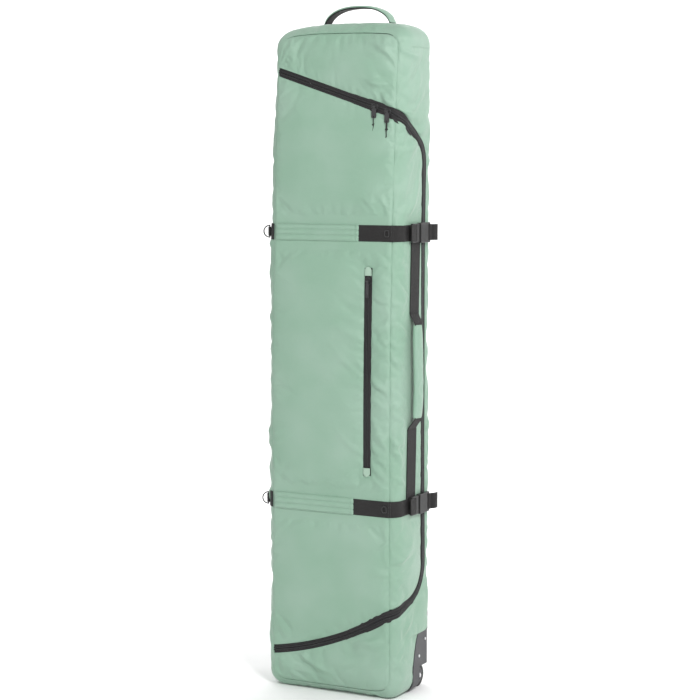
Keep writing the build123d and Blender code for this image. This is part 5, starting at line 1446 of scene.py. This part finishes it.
def top_handle():
    """Black webbing under a padded green cover, with its ends sewn into the top."""
    line, outward = handle_arch(120)
    feet = line[:, 2] < TOP + 8 * MM
    first = int(np.argmin(feet))
    last = len(line) - int(np.argmin(feet[::-1]))
    arch = slice(first - 1, last + 1)
    webbing = band_section(HANDLE_WIDTH, 2.6 * MM, -1.3 * MM, ribs=7, rib=0.15 * MM)
    points, faces = swept(line[arch], outward[arch], webbing)
    new_piece("top_handle_strap", points, faces, "black_webbing", "top_handle",
              ["top_handle_webbing"])
    share = np.linspace(0, 1, len(line[arch]))
    full = np.clip(np.sin(math.pi * share) * 3.2, 0.35, 1)
    turn = np.linspace(0, math.pi, 19)
    sections = []
    for fullness in full:
        across = (HANDLE_WIDTH / 2 + 0.6 * MM) * np.sign(np.cos(turn)) * np.abs(np.cos(turn)) ** 0.7
        out = 1.4 * MM + 4.4 * MM * fullness * np.sin(turn) ** 0.55
        sections.append(np.concatenate([np.stack([across, out], axis=1), [(-HANDLE_WIDTH / 2, 1.2 * MM),
                                                                           (HANDLE_WIDTH / 2, 1.2 * MM)]]))
    points, faces = swept(line[arch], outward[arch], np.array(sections))
    cover = new_piece("top_handle_pad", points, faces, "green_pad", "top_handle",
                      ["top_handle_cover"])
    parts = []
    for run in (slice(0, first + 1), slice(last - 1, len(line))):
        parts.append(swept(line[run], outward[run], webbing * np.array([1.0, 1.1])))
    points, faces = joined(parts)
    new_piece("top_handle_feet_webbing", points, faces, "black_webbing", "bag_body",
              ["top_handle_feet"])
    rows = []
    for edge in (-0.42, 0.42):
        row = line[arch] + outward[arch] * 4.6 * MM + np.array([0, edge * HANDLE_WIDTH, 0])
        rows.append(stitch_row(row[4:-4], outward[arch][4:-4]))
    points, faces = joined(rows)
    new_piece("top_handle_stitching", points, faces, "green_thread", "top_handle")


top_handle()

# ---- inside ----


def inner_pad(name, node, body, depth_out, depth_in, z, half, side):
    """A quilted foam pad behind the back or the front lining."""
    xs = spread(-half, half, 8 * MM)
    zs = spread(*z, 8 * MM)
    x, height = np.meshgrid(xs, zs)
    y = np.full_like(x, BACK) if side > 0 else front_y(height)
    shell = np.stack([x, y, height], axis=-1)
    normals = shell_normal(shell)
    quilt = np.minimum(np.abs(np.sin(math.pi * x / (70 * MM) + math.pi / 2)),
                       np.abs(np.sin(math.pi * height / (90 * MM))))
    rim = np.minimum(np.minimum(x + half, half - x), np.minimum(height - z[0], z[1] - height))
    soft = np.clip(rim / (14 * MM), 0, 1) ** 0.5
    flatness = (1 - soft * (0.55 + 0.45 * quilt**0.5)) * 0.8
    inner_face = shell - normals * (depth_in - flatness * (depth_in - depth_out))[..., None]
    outer_face = shell - normals * depth_out
    rows, cols = x.shape
    count = rows * cols
    faces = grid_faces(rows, cols)
    loop = [i for i in range(cols)] + [i * cols + cols - 1 for i in range(1, rows)]
    loop += [(rows - 1) * cols + i for i in range(cols - 2, -1, -1)]
    loop += [i * cols for i in range(rows - 2, 0, -1)]
    rim_faces = [(a, b, b + count, a + count) for a, b in zip(loop, loop[1:] + loop[:1])]
    far = [tuple(c + count for c in reversed(f)) for f in faces]
    points = np.concatenate([inner_face.reshape(-1, 3), outer_face.reshape(-1, 3)])
    piece = new_piece(name, points, faces + far + rim_faces, "foam", body, [node])


def inner_pieces():
    """The foam pads and the pocket's cloth."""
    low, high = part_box("back_foam")
    inner_pad("back_foam_pad", "back_foam", "bag_body", 6 * MM, 11 * MM, (low.z, high.z), high.x, 1)
    low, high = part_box("lid_foam")
    inner_pad("lid_foam_pad", "lid_foam", "lid", 11 * MM, 15 * MM, (low.z, high.z), high.x, -1)
    low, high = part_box("pocket_bag")
    x, z = np.meshgrid(spread(low.x, high.x, 8 * MM), spread(low.z, high.z, 8 * MM))
    shell = np.stack([x, front_y(z), z], axis=-1)
    normals = shell_normal(shell)
    sag = 0.5 * MM * np.sin(60 * x + 9 * z) * np.sin(25 * z)
    cloth = shell - normals * (9.2 * MM + 0.4 * sag[..., None])
    piece = new_piece("pocket_cloth", cloth.reshape(-1, 3), grid_faces(*x.shape), "lining", "lid",
                      ["pocket_bag"])


inner_pieces()

# ---- the floor and the light ----


def make_stage():
    """A pale floor that curves up behind, soft light from above and both sides."""
    depth = [(-6.0, 0.0), (3.0, 0.0), (3.8, 0.1), (4.4, 0.5), (4.7, 1.2), (4.8, 6.0)]
    points = [(x, y, z) for y, z in depth for x in (-8.0, 8.0)]
    faces = [(2 * i, 2 * i + 1, 2 * i + 3, 2 * i + 2) for i in range(len(depth) - 1)]
    mesh = bpy.data.meshes.new("floor")
    mesh.from_pydata(points, [], faces)
    material, tree, shader = new_material("pale floor", ((0.9, 0.9, 0.9), (0.92, 0.92, 0.92)), 0.9)
    fine = placed(tree, GRAIN, size=0.004, detail=2.0)
    bump(tree, shader, fine.outputs["Height"], 0.0002, 0.3)
    mesh.materials.append(material)
    floor = bpy.data.objects.new("floor", mesh)
    bpy.context.scene.collection.objects.link(floor)
    world = bpy.data.worlds.new("studio")
    world.use_nodes = True
    world.node_tree.nodes["Background"].inputs["Color"].default_value = (1.0, 1.0, 1.0, 1.0)
    world.node_tree.nodes["Background"].inputs["Strength"].default_value = 0.62
    bpy.context.scene.world = world
    lights = [
        ("key", (2.9, -2.5, 3.0), 118, 0.8, (0, 0, 0.8)),
        ("front", (-0.6, -4.2, 2.2), 18, 1.6, (0, 0, 0.8)),
        ("rim", (2.8, 2.4, 2.4), 30, 1.4, (0, 0, 0.8)),
        ("backdrop", (-1.5, 1.6, 3.6), 150, 3.0, (-2.2, 4.6, 0.6)),
    ]
    for name, place, power, size, target in lights:
        data = bpy.data.lights.new(name, "AREA")
        data.energy = power
        data.size = size
        lamp = bpy.data.objects.new(name, data)
        bpy.context.scene.collection.objects.link(lamp)
        lamp.location = place
        aim = Vector(target) - Vector(place)
        lamp.rotation_euler = aim.to_track_quat("-Z", "Y").to_euler()


make_stage()
bpy.context.scene.view_settings.view_transform = "Standard"
